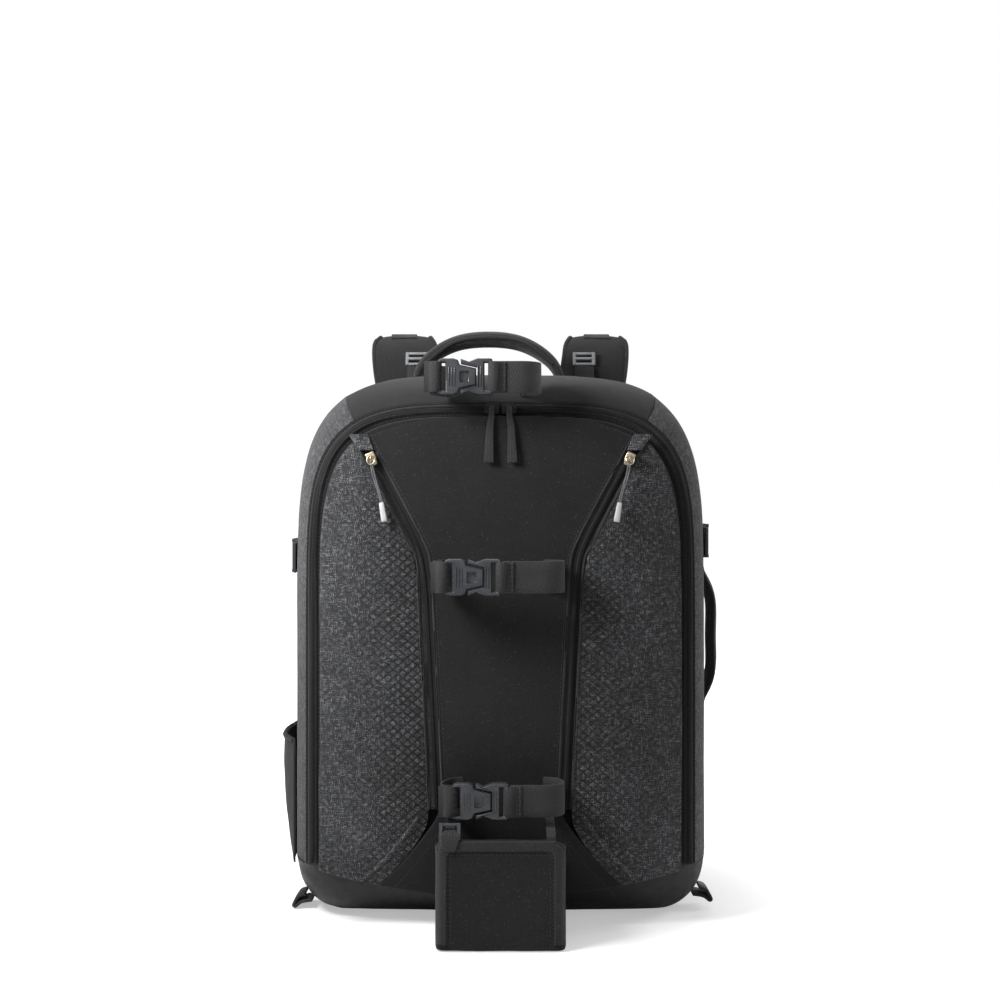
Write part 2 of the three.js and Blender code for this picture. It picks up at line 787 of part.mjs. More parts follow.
// A loop of webbing that stands out from the front and is buckled near its left end.
function addTripodStraps() {
  const size = { side: upright, width: () => webWidth, thickness: () => webThickness };
  for (const { name, left, right, buckle, height, bow } of tripodStraps) {
    const seat = frontSeat(height);
    const at = (x, out) => [x, seat - bow * out, height];
    const buckleLeft = buckle - buckleLength / 2;
    const buckleRight = buckle + buckleLength / 2;
    const stub = smoothCurve([
      at(left + sewnEnd, 0),
      at(left + 1, 0.08),
      at(left - loopBulge, 0.5),
      at(left - loopBulge - 1, 0.88),
      at(buckleLeft - 5, 0.995),
      at(buckleLeft - 2 * seatGap, 1),
    ]);
    addPiece(`${name}_stub`, strip({ ...size, curve: stub, steps: 12 }), 'webbing');
    const web = smoothCurve([
      at(buckleRight + seatGap, 1),
      at(mix(buckleRight, right, 0.5), 1.01),
      at(right - 2, 1),
      at(right + loopBulge, 0.75),
      at(right + loopBulge, 0.4),
      at(right + 1, 0.08),
      at(right - sewnEnd, 0),
    ]);
    addPiece(`${name}_web`, strip({ ...size, curve: web, steps: 18 }), 'webbing');
    for (const [half, rows, end] of [['female', socketRows, -1], ['male', plugRows, 1]]) {
      const body = buckleHalf(rows, end);
      body.translate(buckle, seat - bow, height);
      addPiece(`${name}_${half}`, closed(body), 'buckle');
    }
  }
}

// Body cut from a profile in side view, its points [y, z], as wide as the cup and a margin.
function acrossCup(points) {
  const profile = new THREE.Shape(points.map(([y, z]) => new THREE.Vector2(y, z)));
  const body = new THREE.ExtrudeGeometry(profile, { depth: cupWidth + 2 * cutMargin, bevelEnabled: false });
  body.rotateX(Math.PI / 2);
  body.rotateZ(Math.PI / 2);
  body.translate(-cupWidth / 2 - cutMargin, 0, 0);
  return toSolid(body);
}

// Upright U seen from above, open towards the bag.
function cupPlan(inset, back, depth) {
  const half = cupWidth / 2 - inset;
  const front = -cupFront + inset;
  const round = cupRound - inset / 2;
  const plan = new THREE.Shape();
  plan.moveTo(-half, back);
  plan.lineTo(-half, front + round);
  plan.quadraticCurveTo(-half, front, -half + round, front);
  plan.lineTo(half - round, front);
  plan.quadraticCurveTo(half, front, half, front + round);
  plan.lineTo(half, back);
  return toSolid(new THREE.ExtrudeGeometry(plan, { depth, bevelEnabled: false, curveSegments: 3 }));
}

// Open-topped cup that stands in front of the boot.
function addCup() {
  const tall = cupHeight + cupLift;
  const half = cupWidth / 2;
  const outer = cupPlan(0, frontEdge + cupUnder, cupHeight).translate([0, 0, cupLift]);
  const room = cupPlan(cupWall, 0, 2 * cupHeight).translate([0, 0, cupLift + cupWall]);

  // Rounds the top corners of the front wall.
  const corners = new THREE.Shape();
  corners.moveTo(-half - cutMargin, tall + cutMargin);
  corners.lineTo(-half - cutMargin, tall - cupCorner);
  corners.lineTo(-half, tall - cupCorner);
  corners.quadraticCurveTo(-half, tall, -half + cupCorner, tall);
  corners.lineTo(half - cupCorner, tall);
  corners.quadraticCurveTo(half, tall, half, tall - cupCorner);
  corners.lineTo(half + cutMargin, tall - cupCorner);
  corners.lineTo(half + cutMargin, tall + cutMargin);
  const depth = cupFront + cutMargin;
  const cornerCut = new THREE.ExtrudeGeometry(corners, { depth, bevelEnabled: false, curveSegments: 4 });
  cornerCut.rotateX(Math.PI / 2);

  // Slopes the side walls down to the bag.
  const slopeFront = -cupFront + cupRound;
  const slope = acrossCup([
    [slopeFront, tall + 1],
    [slopeFront + cupSlope, tall - cupSlope],
    [frontEdge, tall - 1.5 * cupSlope],
    [frontEdge + cupUnder, tall - 1.5 * cupSlope],
    [frontEdge + cupUnder, tall + 1],
  ]);

  // The bag's front in side view, which the cup's back edges follow.
  const bagFront = [[caseBack, -cutMargin]];
  for (let i = 2; i <= sectionSteps; i += 1) {
    const point = bootPoint(0, i / sectionSteps, 0);
    bagFront.push([point.y - seatGap, point.z - 2 * seatGap]);
  }
  for (let z = bootLift; z <= cupHeight * 1.4; z += 12) {
    bagFront.push([pocketFace(0, z) - 1.5 * seatGap, z]);
  }
  bagFront.push([caseBack, cupHeight * 1.4]);

  const cup = outer.subtract(room).subtract(toSolid(cornerCut)).subtract(slope).subtract(acrossCup(bagFront));
  addPiece('tripod_cup', fromSolid(cup), 'blackFabric');

  // Narrow webbing from the cup's edge back to the bag. The left one runs over the front, with a lock on it.
  const inside = -cupFront + cupWall + cupWebWall / 2 + seamGap;
  const over = -cupFront - cupWebWall - seamGap;
  addCupWeb('left', -cupWebPlace, [[over, tall - 9], [over, tall + 1], [over + 4, tall + 5]], 0.17);
  addCupWeb('right', cupWebPlace, [[inside, tall - 4], [inside, tall - 1], [inside + 2, tall + 2.5]], -1);
}

// Webbing from start, its points [y, z], back to the bag. lock: its share along where the ladder lock is.
function addCupWeb(name, x, start, lock) {
  const meets = cupHeight + cupLift + cupWebRise;
  const end = [pocketFace(0, meets) - cupWebWall, meets];
  const last = start[start.length - 1];
  const between = [mix(last[0], end[0], 0.5), mix(last[1], end[1], 0.4)];
  const held = (u) => (Math.abs(u - lock) < 0.1 ? 1 : 0);
  const web = strip({
    curve: smoothCurve([...start, between, end].map(([y, z]) => [x, y, z])),
    side: sideways,
    width: (u) => cupWebWidth * (1 + held(u)),
    thickness: (u) => cupWebWall * (1 + held(u)),
    steps: 10,
  });
  addPiece(`cup_web_${name}`, web, 'webbing');
}

// Stretch pocket on the left side, open at its top.
function addSidePocket() {
  const pocket = bentBlock([8, 6, 1], (u, v, w) => {
    const y = mix(sidePocketBack, sidePocketFront, u);
    const z = mix(sidePocketLow, sidePocketHigh, v);
    const swell = Math.sin(Math.PI * u) ** 0.6 * Math.sin(Math.PI * (0.62 * v + 0.02)) ** 0.7;
    const out = caseHalfAt(y) + 1.5 * seamGap + sidePocketBulge * swell + sidePocketWall * w;
    return new THREE.Vector3(-out, y, z);
  });
  addPiece('side_pocket', pocket, 'blackFabric');
}

// Compression straps: webbing along the side that runs through a ladder lock.
function addSideStraps() {
  const lockShare = 0.42;
  for (const [name, side] of sides) {
    const strap = bentBlock([16, 1, 1], (u, v, w) => {
      const y = mix(sideStrapBack, sideStrapFront, u);
      const lock = Math.abs(u - lockShare) < 0.1 ? 1 : 0;
      const face = Math.max(caseHalfAt(y), Math.min(caseHalfAt(y - 9), caseHalfAt(y + 9)));
      const out = face + 1.5 * seamGap + (webThickness + lock * lockHeight) * w;
      const z = sideStrapHeights[name] + (v - 0.5) * (webWidth + lock * lockRim);
      return new THREE.Vector3(side * out, y, z);
    });
    addPiece(`side_strap_${name}`, strap, 'webbing');
  }
}

// Padded carry handle that arches out from the right side.
function addSideHandle() {
  const skin = halfWidth + seamGap;
  const thinEnd = webThickness + seamGap;
  const out = skin + handleReach - handleThickness / 2;
  const handle = strip({
    curve: smoothCurve([
      [skin + thinEnd * 0.75, handleY, handleLow],
      [skin + thinEnd * 1.4, handleY, handleLow + 10],
      [out, handleY, handleLow + 2 * handleReach],
      [out + 0.5, handleY, (handleLow + handleHigh) / 2],
      [out, handleY, handleHigh - 2 * handleReach],
      [skin + thinEnd * 1.4, handleY, handleHigh - 10],
      [skin + thinEnd * 0.75, handleY, handleHigh],
    ]),
    side: forward,
    width: (u) => mix(handleWidth * 0.8, handleWidth, swollen(u)),
    thickness: (u) => mix(thinEnd, handleThickness, swollen(u)),
    steps: 14,
    across: 4,
    soft: 0.6,
  });
  addPiece('side_handle', handle, 'mesh');
}

// Folded webbing tabs at the front corners of the base.
function addCornerTabs() {
  for (const [name, side] of sides) {
    const height = tabHeights[name];
    const down = bootCorner - height - webThickness;
    const seat = caseHalfAt(tabY) - bootCorner + Math.sqrt(bootCorner ** 2 - down ** 2) - seatGap;
    const tab = bentBlock([2, 1, 1], (u, v, w) => {
      const y = tabY + (v - 0.5) * mix(tabWidth, tabWidth * 0.83, u);
      const z = height - tabDrop * u ** 1.5 + (w - 0.5) * webThickness * mix(2.2, 1.3, u);
      return new THREE.Vector3(side * (seat + tabLength * u), y, z);
    });
    addPiece(`corner_tab_${name}`, tab, 'webbing');
  }
}

// Padded mesh on the back wall. x and z are functions of u and v.
function padOnBack({ steps, x, z, crown, power }) {
  const pillow = (t) => 1 - Math.abs(2 * t - 1) ** power;
  return bentBlock([...steps, 1], (u, v, w) => {
    const thick = mix(padRim, crown, pillow(u) * pillow(v));
    return new THREE.Vector3(x(u, v), harnessFace + w * thick, z(v));
  });
}

function addPads() {
  for (const [name, side] of sides) {
    addPiece(`back_pad_${name}`, padOnBack({
      steps: [6, 10],
      x: (u, v) => side * (padCenter + (u - 0.5) * padWidth * mix(1, 0.86, v)),
      z: (v) => mix(padLow, padHigh, v),
      crown: padThickness,
      power: 5,
    }), 'mesh');
  }
  addPiece('lumbar_pad', padOnBack({
    steps: [10, 6],
    x: (u) => (u - 0.5) * lumbarWidth,
    z: (v) => mix(lumbarLow, lumbarHigh, v),
    crown: lumbarThickness,
    power: 4,
  }), 'mesh');
}

// Shoulder strap with the ladder lock at its lower end and the webbing from there down to the back wall.
function addShoulderStrap(name, side) {
  const route = shoulderRows.map((row, index) => {
    const rise = (index === 0 ? strapEnd : shoulderThickness) / 2;
    return [
      side * shoulderSpread * row.spread,
      harnessFace + rise + shoulderReach * row.out,
      shoulderTop * row.height,
    ];
  });
  const curve = smoothCurve(route);
  const strap = strip({
    curve,
    side: sideways,
    width: (u) => mix(shoulderWidth * 0.58, shoulderWidth, blunt(u)) * mix(1, 0.9, u),
    thickness: (u) => mix(strapEnd, shoulderThickness, blunt(u)),
    steps: 24,
    across: 4,
    soft: 0.6,
  });
  addPiece(`shoulder_strap_${name}`, strap, 'mesh');

  const fall = curve.getTangentAt(1);
  const lockStart = curve.getPointAt(1).addScaledVector(fall, seatGap);
  const lockEnd = lockStart.clone().addScaledVector(fall, lockLength);
  const lock = strip({
    curve: new THREE.LineCurve3(lockStart, lockEnd),
    side: sideways,
    width: () => webWidth + lockRim,
    thickness: (u) => mix(strapEnd, strapEnd + 3, Math.sin(Math.PI * u)),
    steps: 3,
  });
  addPiece(`strap_lock_${name}`, lock, 'buckle');

  const webStart = lockEnd.clone().addScaledVector(fall, seatGap);
  const webOut = harnessFace + webThickness / 2 + seatGap;
  const web = strip({
    curve: smoothCurve([
      webStart.toArray(),
      webStart.clone().addScaledVector(fall, lockLength / 3).toArray(),
      [side * (anchorSpread - 10), webOut + 26, anchorHeight + 80],
      [side * (anchorSpread - 3), webOut + 7, anchorHeight + 32],
      [side * anchorSpread, webOut, anchorHeight + 18],
      [side * anchorSpread, webOut, anchorHeight],
    ]),
    side: sideways,
    width: () => lowerWebWidth,
    thickness: () => webThickness,
    steps: 12,
  });
  addPiece(`lower_web_${name}`, web, 'webbing');
}

// Load lifter: webbing from the top edge of the back to a buckle on the rising strap.
function addLifter(name, side) {
  const x = side * (shoulderSpread - 12);
  const foot = caseHeight - topRoll * caseSections[1].top;
  const buckle = new THREE.Vector3(x, backFace + lifterDepth, shoulderTop - 24);
  const web = strip({
    curve: smoothCurve([
      [x, caseBack - 8, foot + 0.4],
      [x, caseBack, foot - 1.1],
      [x, caseBack + 7, foot + 6.4],
      [x, buckle.y - 2.6, buckle.z - 7.2],
    ]),
    side: sideways,
    width: () => lifterWidth,
    thickness: () => webThickness,
    steps: 8,
  });
  addPiece(`lifter_web_${name}`, web, 'webbing');
  const body = new THREE.BoxGeometry(lifterWidth + 4, lifterDepth, 14);
  body.rotateX(-0.35);
  body.translate(buckle.x, buckle.y, buckle.z);
  addPiece(`lifter_buckle_${name}`, closed(body), 'grayBuckle');
}

// Belt: a wing from each side of the lumbar pad, folded in across the back and buckled in the middle.
function addBelt() {
  for (const [name, side] of sides) {
    const wing = strip({
      curve: smoothCurve(wingRows.map(({ spread, out }) => [
        side * mix(buckleLength / 2 + 1.5 * seatGap, wingSpread, spread),
        harnessFace + strapEnd / 2 + wingReach * out,
        beltHeight,
      ])),
      side: upright,
      width: (u) => mix(wingWidth, wingWidth * 0.39, u ** 1.6),
      thickness: (u) => mix(strapEnd, wingThickness, blunt(u)),
      steps: 14,
      across: 4,
      soft: 0.6,
    });
    addPiece(`waist_wing_${name}`, wing, 'mesh');
  }
  const latch = new THREE.BoxGeometry(6, buckleHeight / 3, buckleWidth * 0.55);
  latch.translate(buckleLength / 5, 0, 0);
  const halves = toSolid(buckleHalf(socketRows, -1)).add(toSolid(buckleHalf(plugRows, 1)));
  const buckle = fromSolid(halves.add(toSolid(latch)));
  buckle.translate(0, harnessFace + strapEnd / 2 + wingReach, beltHeight);
  addPiece('waist_buckle', buckle, 'buckle');
}

function addGrabHandle() {
  const foot = caseHeight - seamGap;
  const arch = (reach, height) => [grabCenter + (reach * grabSpan) / 2, grabY, mix(foot, grabTop, height)];
  const grab = strip({
    curve: smoothCurve([
      arch(-1, 0),
      arch(-0.91, 0.375),
      arch(-0.5, 0.87),
      arch(0, 1),
      arch(0.5, 0.87),
      arch(0.91, 0.375),
      arch(1, 0),
    ]),
    side: forward,
    width: (u) => mix(grabWidth * 0.7, grabWidth, Math.sin(Math.PI * u) ** 0.5),
    thickness: (u) => mix(3, grabThickness, Math.sin(Math.PI * u) ** 0.5),
    steps: 18,
    across: 4,
    soft: 0.6,
  });
  addPiece('grab_handle', grab, 'mesh');
}

addCase();
addLid();
addPocket();
addMainSliders();
addTripodStraps();
addCup();
addSidePocket();
addSideStraps();
addSideHandle();
addCornerTabs();
addPads();
for (const [name, side] of sides) {
  addShoulderStrap(name, side);
  addLifter(name, side);
}
addBelt();
addGrabHandle();

export default backpack;
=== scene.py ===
import json
import math

import bmesh
import bpy
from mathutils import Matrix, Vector
from mathutils.bvhtree import BVHTree

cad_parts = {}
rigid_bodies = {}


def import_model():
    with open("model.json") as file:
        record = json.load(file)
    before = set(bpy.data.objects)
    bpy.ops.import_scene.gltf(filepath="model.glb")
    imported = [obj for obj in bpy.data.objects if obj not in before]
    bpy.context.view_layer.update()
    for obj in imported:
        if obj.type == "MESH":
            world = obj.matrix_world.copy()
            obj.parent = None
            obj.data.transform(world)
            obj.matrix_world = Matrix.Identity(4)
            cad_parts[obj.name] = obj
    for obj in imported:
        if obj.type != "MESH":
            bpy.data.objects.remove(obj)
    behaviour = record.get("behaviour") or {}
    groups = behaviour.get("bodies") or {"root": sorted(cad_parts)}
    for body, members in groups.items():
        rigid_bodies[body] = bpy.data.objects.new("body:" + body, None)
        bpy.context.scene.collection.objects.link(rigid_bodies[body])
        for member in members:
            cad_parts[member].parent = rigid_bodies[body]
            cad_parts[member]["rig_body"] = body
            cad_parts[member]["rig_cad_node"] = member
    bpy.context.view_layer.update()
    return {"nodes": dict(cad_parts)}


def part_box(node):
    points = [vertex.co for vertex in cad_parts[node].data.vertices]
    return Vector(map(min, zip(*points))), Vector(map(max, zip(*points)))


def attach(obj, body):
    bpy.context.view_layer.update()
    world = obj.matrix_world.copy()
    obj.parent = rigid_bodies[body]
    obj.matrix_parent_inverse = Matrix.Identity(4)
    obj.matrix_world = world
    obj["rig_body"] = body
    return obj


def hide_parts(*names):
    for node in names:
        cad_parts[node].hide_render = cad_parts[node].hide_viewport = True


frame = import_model()
mm = 0.001
sides = {"left": -1, "right": 1}


# Camera
cameraSet = {"place": (-0.0004, -1.3, 0.347), "lens": 52.88, "sensor": 36.0}

bpy.ops.object.camera_add(location=cameraSet["place"], rotation=(math.radians(90), 0, 0))
camera = bpy.context.active_object
camera.data.lens = cameraSet["lens"]
camera.data.sensor_width = cameraSet["sensor"]
bpy.context.scene.camera = camera
print("camera is set")


# Small helpers
def pick(*pieces):
    bpy.ops.object.select_all(action="DESELECT")
    for piece in pieces:
        piece.select_set(True)
    bpy.context.view_layer.objects.active = pieces[0]


def editAll(piece):
    pick(piece)
    bpy.ops.object.mode_set(mode="EDIT")
    bpy.ops.mesh.select_all(action="SELECT")


def leaveEdit():
    bpy.ops.object.mode_set(mode="OBJECT")


def addModifier(piece, kind, **settings):
    modifier = piece.modifiers.new(kind.title(), kind)
    for name, value in settings.items():
        setattr(modifier, name, value)
    pick(piece)
    bpy.ops.object.modifier_apply(modifier=modifier.name)


def placeInMesh(piece):
    pick(piece)
    bpy.ops.object.transform_apply(location=True, rotation=True, scale=True)


def join(pieces, name):
    pick(*pieces)
    bpy.ops.object.join()
    whole = bpy.context.active_object
    whole.name = name
    return whole


def smooth(piece, angle=40):
    pick(piece)
    bpy.ops.object.shade_smooth_by_angle(angle=math.radians(angle))


def subdivide(piece, levels):
    addModifier(piece, "SUBSURF", levels=levels, render_levels=levels)


def finish(piece, material, slotName, *nodes):
    piece.data.materials.clear()
    piece.data.materials.append(material)
    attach(piece, "root")
    if nodes:
        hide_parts(*nodes)
    return piece


# A copy of a CAD node with its loose triangles merged back to four-sided faces.
def copyOf(node, name):
    pick(frame["nodes"][node])
    bpy.ops.object.duplicate()
    piece = bpy.context.active_object
    piece.name = name
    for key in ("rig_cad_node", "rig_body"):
        if key in piece:
            del piece[key]
    editAll(piece)
    bpy.ops.mesh.remove_doubles(threshold=0.00001)
    bpy.ops.mesh.tris_convert_to_quads(face_threshold=math.radians(50), shape_threshold=math.radians(60))
    leaveEdit()
    bpy.ops.mesh.customdata_custom_splitnormals_clear()
    return piece


# Cloth: the copy is rounded off, its sharp edges are kept by a crease.
def softCopy(node, name, levels=2, crease=0.75, sharp=42):
    piece = copyOf(node, name)
    editAll(piece)
    bpy.ops.mesh.select_all(action="DESELECT")
    bpy.ops.mesh.select_mode(type="EDGE")
    bpy.ops.mesh.edges_select_sharp(sharpness=math.radians(sharp))
    bpy.ops.transform.edge_crease(value=crease)
    leaveEdit()
    subdivide(piece, levels)
    smooth(piece, 60)
    return piece


# Merges slivers and turns the faces outwards.
def turnOut(piece):
    editAll(piece)
    bpy.ops.mesh.remove_doubles(threshold=0.000002)
    bpy.ops.mesh.dissolve_degenerate(threshold=0.000002)
    bpy.ops.mesh.normals_make_consistent(inside=False)
    leaveEdit()


# Moulded and cut parts: flat faces are joined up and every edge gets a small round.
def crispCopy(node, name, edge):
    piece = copyOf(node, name)
    editAll(piece)
    bpy.ops.mesh.dissolve_limited(angle_limit=math.radians(2))
    leaveEdit()
    addModifier(piece, "BEVEL", width=edge * mm, segments=3, limit_method="ANGLE",
                angle_limit=math.radians(28))
    turnOut(piece)
    smooth(piece, 35)
    return piece


# Fabric that has softened all over: remeshed with small faces and relaxed.
def relaxedCopy(node, name, voxel, rounds):
    piece = copyOf(node, name)
    addModifier(piece, "REMESH", mode="VOXEL", voxel_size=voxel * mm)
    addModifier(piece, "SMOOTH", factor=0.5, iterations=rounds)
    smooth(piece, 80)
    return piece


# Low folds and dents, pushed along the surface by a cloud pattern.
def rumple(piece, height, size):
    pattern = bpy.data.textures.new(piece.name + "Folds", "CLOUDS")
    pattern.noise_scale = size * mm
    pattern.noise_depth = 2
    addModifier(piece, "DISPLACE", texture=pattern, strength=height * mm, mid_level=0.5, direction="NORMAL",
                texture_coords="LOCAL")
    bpy.data.textures.remove(pattern)


def surfaceOf(*pieces):
    points, faces = [], []
    for piece in pieces:
        start = len(points)
        points += [vertex.co.copy() for vertex in piece.data.vertices]
        faces += [[start + i for i in face.vertices] for face in piece.data.polygons]
    return BVHTree.FromPolygons(points, faces)


# Views that flat trim is drawn in: across, up and out are its axes on the object.
views = {
    "front": (Vector((1, 0, 0)), Vector((0, 0, 1)), Vector((0, -1, 0))),
    "left": (Vector((0, -1, 0)), Vector((0, 0, 1)), Vector((-1, 0, 0))),
    "right": (Vector((0, 1, 0)), Vector((0, 0, 1)), Vector((1, 0, 0))),
}
laySet = {"outside": 0.6, "nearFace": 0.12}       # metres from the middle of the bag


# Trim is drawn flat, in x and y with its height in z. This lays it on a surface, seen from one side.
def layOn(trim, surface, view):
    across, up, out = views[view]
    for vertex in trim.data.vertices:
        flat = across * vertex.co.x + up * vertex.co.y
        place = surface.ray_cast(flat + out * laySet["outside"], -out)[0]
        if place is None:
            place = surface.find_nearest(flat + out * laySet["nearFace"])[0]
        vertex.co = flat + out * (place.dot(out) + vertex.co.z)
    trim.data.update()
    return trim


def flatPath(points):
    bpy.ops.curve.primitive_nurbs_path_add()
    path = bpy.context.active_object
    path.data.splines.clear()
    path.data.dimensions = "2D"
    spline = path.data.splines.new("POLY")
    spline.points.add(len(points) - 1)
    for point, place in zip(spline.points, points):
        point.co = (place[0], place[1], 0, 1)
    return path


# A smooth line through the given points, in equal steps of each span.
def smoothLine(points, count):
    spans = len(points) - 1
    line = []
    for i in range(count + 1):
        place = i / count * spans
        k = min(int(place), spans - 1)
        t = place - k
        p0, p1, p2, p3 = (Vector(points[min(max(k + o, 0), spans)]) for o in (-1, 0, 1, 2))
        line.append(0.5 * (2 * p1 + (p2 - p0) * t + (2 * p0 - 5 * p1 + 4 * p2 - p3) * t ** 2
                           + (3 * p1 - p0 - 3 * p2 + p3) * t ** 3))
    return line


# Repeats a small unit along a flat line. The unit lies along x, its height is z.
def repeatAlong(unit, points, pitch, name):
    path = flatPath(points)
    addModifier(unit, "ARRAY", fit_type="FIT_CURVE", curve=path, use_relative_offset=False,
                use_constant_offset=True, constant_offset_displace=(pitch, 0, 0))
    addModifier(unit, "CURVE", object=path)
    bpy.data.objects.remove(path)
    unit.name = name
    return unit


# One stitch and the spacing of a row, in mm
threadSet = {"length": 2.5, "width": 0.55, "height": 0.42, "pitch": 3.4, "sink": 0.05}


def stitchUnit():
    length, width, height = (threadSet[key] * mm for key in ("length", "width", "height"))
    bpy.ops.mesh.primitive_uv_sphere_add(segments=6, ring_count=4, radius=0.5,
                                         rotation=(0, math.radians(90), 0),
                                         location=(length / 2, 0, threadSet["sink"] * mm))
    unit = bpy.context.active_object
    unit.scale = (height, width, length)
    placeInMesh(unit)
    return unit


def stitchLine(points, surface, view, name):
    trim = repeatAlong(stitchUnit(), points, threadSet["pitch"] * mm, name)
    return layOn(trim, surface, view)


def flatLine(points):
    return [Vector((point[0], point[1], 0)) for point in points]


def inMetres(points):
    return [(x * mm, y * mm, 0) for x, y in points]


# Direction of a line at one of its points, from the points beside it.
def aheadAt(line, i):
    return (Vector(line[min(i + 1, len(line) - 1)]) - Vector(line[max(i - 1, 0)])).normalized()


def offsetLine(points, distance):
    line = flatLine(points)
    moved = []
    for i, point in enumerate(line):
        ahead = aheadAt(line, i)
        moved.append(point + Vector((ahead.y, -ahead.x, 0)) * distance * mm)
    return moved


# One closed piece through rings of points, with a face over each end.
def skin(rings, name):
    mesh = bpy.data.meshes.new(name)
    piece = bpy.data.objects.new(name, mesh)
    bpy.context.scene.collection.objects.link(piece)
    build = bmesh.new()
    rings = [[build.verts.new(place) for place in ring] for ring in rings]
    for low, high in zip(rings, rings[1:]):
        for k in range(len(low)):
            after = (k + 1) % len(low)
            build.faces.new((low[k], low[after], high[after], high[k]))
    build.faces.new(list(reversed(rings[0])))
    build.faces.new(rings[-1])
    bmesh.ops.recalc_face_normals(build, faces=build.faces)
    build.to_mesh(mesh)
    build.free()
    return piece


# A flat band along a line. Its section is a list of (offset across, height) pairs.
def bandAlong(points, section, name):
    line = flatLine(points)
    rings = []
    for i, point in enumerate(line):
        ahead = aheadAt(line, i)
        across = Vector((-ahead.y, ahead.x, 0))
        rings.append([point + across * offset * mm + Vector((0, 0, height * mm))
                      for offset, height in section])
    return skin(rings, name)


def roundSection(width, height, steps=8):
    angles = [2 * math.pi * k / steps for k in range(steps)]
    return [(width / 2 * math.cos(angle), height / 2 * math.sin(angle)) for angle in angles]


def tube(points, radius, name, sidesRound=6):
    angles = [2 * math.pi * k / sidesRound for k in range(sidesRound)]
    rings = []
    normal = Vector((1, 0, 0))
    for i, point in enumerate(points):
        ahead = aheadAt(points, i)
        normal = (normal - ahead * normal.dot(ahead)).normalized()
        other = ahead.cross(normal)
        rings.append([Vector(point) + radius * (math.cos(angle) * normal + math.sin(angle) * other)
                      for angle in angles])
    piece = skin(rings, name)
    smooth(piece, 60)
    return piece


# A ribbon of webbing along points in space. sideways is the direction of its width.
def ribbon(points, sideways, width, thickness, name):
    edge = min(0.45 * thickness, 0.8 * mm)
    wide, thick = width / 2, thickness / 2
    under = [(-wide, -thick + edge), (-wide + edge, -thick), (0, -thick), (wide - edge, -thick),
             (wide, -thick + edge)]
    section = under + [(-a, -b) for a, b in under]
    rings = []
    for i, point in enumerate(points):
        ahead = aheadAt(points, i)
        up = ahead.cross(Vector(sideways)).normalized()
        across = up.cross(ahead).normalized()
        rings.append([Vector(point) + across * a + up * b for a, b in section])
    piece = skin(rings, name)
    smooth(piece, 50)
    return piece


# Shader node groups
# A group's inputs come with their values. One that has none takes a vector.
def newGroup(name, inputs, outputs):
    group = bpy.data.node_groups.new(name, "ShaderNodeTree")
    for label, value in inputs.items():
        kind = "NodeSocketVector" if value is None else "NodeSocketFloat"
        socket = group.interface.new_socket(label, in_out="INPUT", socket_type=kind)
        if value is not None:
            socket.default_value = value
    for label in outputs:
        group.interface.new_socket(label, in_out="OUTPUT", socket_type="NodeSocketFloat")
    return group, group.nodes.new("NodeGroupInput"), group.nodes.new("NodeGroupOutput")


def feed(tree, value, socket):
    if isinstance(value, (int, float, tuple)):
        socket.default_value = value
    else:
        tree.links.new(value, socket)


def maths(tree, operation, *values):
    node = tree.nodes.new("ShaderNodeMath")
    node.operation = operation
    for i, value in enumerate(values):
        feed(tree, value, node.inputs[i])
    return node.outputs[0]


def blendValue(tree, share, low, high):
    return maths(tree, "ADD", low, maths(tree, "MULTIPLY", share, maths(tree, "SUBTRACT", high, low)))


def mapRange(tree, value, fromLow, fromHigh, toLow=0.0, toHigh=1.0, gentle=True):
    node = tree.nodes.new("ShaderNodeMapRange")
    node.interpolation_type = "SMOOTHSTEP" if gentle else "LINEAR"
    for i, item in enumerate((value, fromLow, fromHigh, toLow, toHigh)):
        feed(tree, item, node.inputs[i])
    return node.outputs[0]


def dotWith(tree, vector, direction):
    node = tree.nodes.new("ShaderNodeVectorMath")
    node.operation = "DOT_PRODUCT"
    feed(tree, vector, node.inputs[0])
    feed(tree, direction, node.inputs[1])
    return node.outputs["Value"]


def joinAxes(tree, x, y, z=0.0):
    node = tree.nodes.new("ShaderNodeCombineXYZ")
    for i, item in enumerate((x, y, z)):
        feed(tree, item, node.inputs[i])
    return node.outputs[0]


def cloud(tree, vector, size, detail=2.0, roughness=0.5):
    node = tree.nodes.new("ShaderNodeTexNoise")
    feed(tree, vector, node.inputs["Vector"])
    feed(tree, size, node.inputs["Scale"])
    node.inputs["Detail"].default_value = detail
    node.inputs["Roughness"].default_value = roughness
    return node.outputs[0]


# Rises and falls once in each whole step of a value.
def hump(tree, value):
    return maths(tree, "SINE", maths(tree, "MULTIPLY", maths(tree, "FRACT", value), math.pi))


# Rows that are half a step apart from each other: the place along a row, and across the rows.
def offsetRows(group, start, rowShare):
    rowPitch = maths(group, "MULTIPLY", start.outputs["Pitch"], rowShare)
    row = maths(group, "DIVIDE", start.outputs["Across"], rowPitch)
    half = maths(group, "MULTIPLY", maths(group, "PINGPONG", maths(group, "FLOOR", row), 1.0), 0.5)
    run = maths(group, "ADD", maths(group, "DIVIDE", start.outputs["Along"], start.outputs["Pitch"]), half)
    return run, row


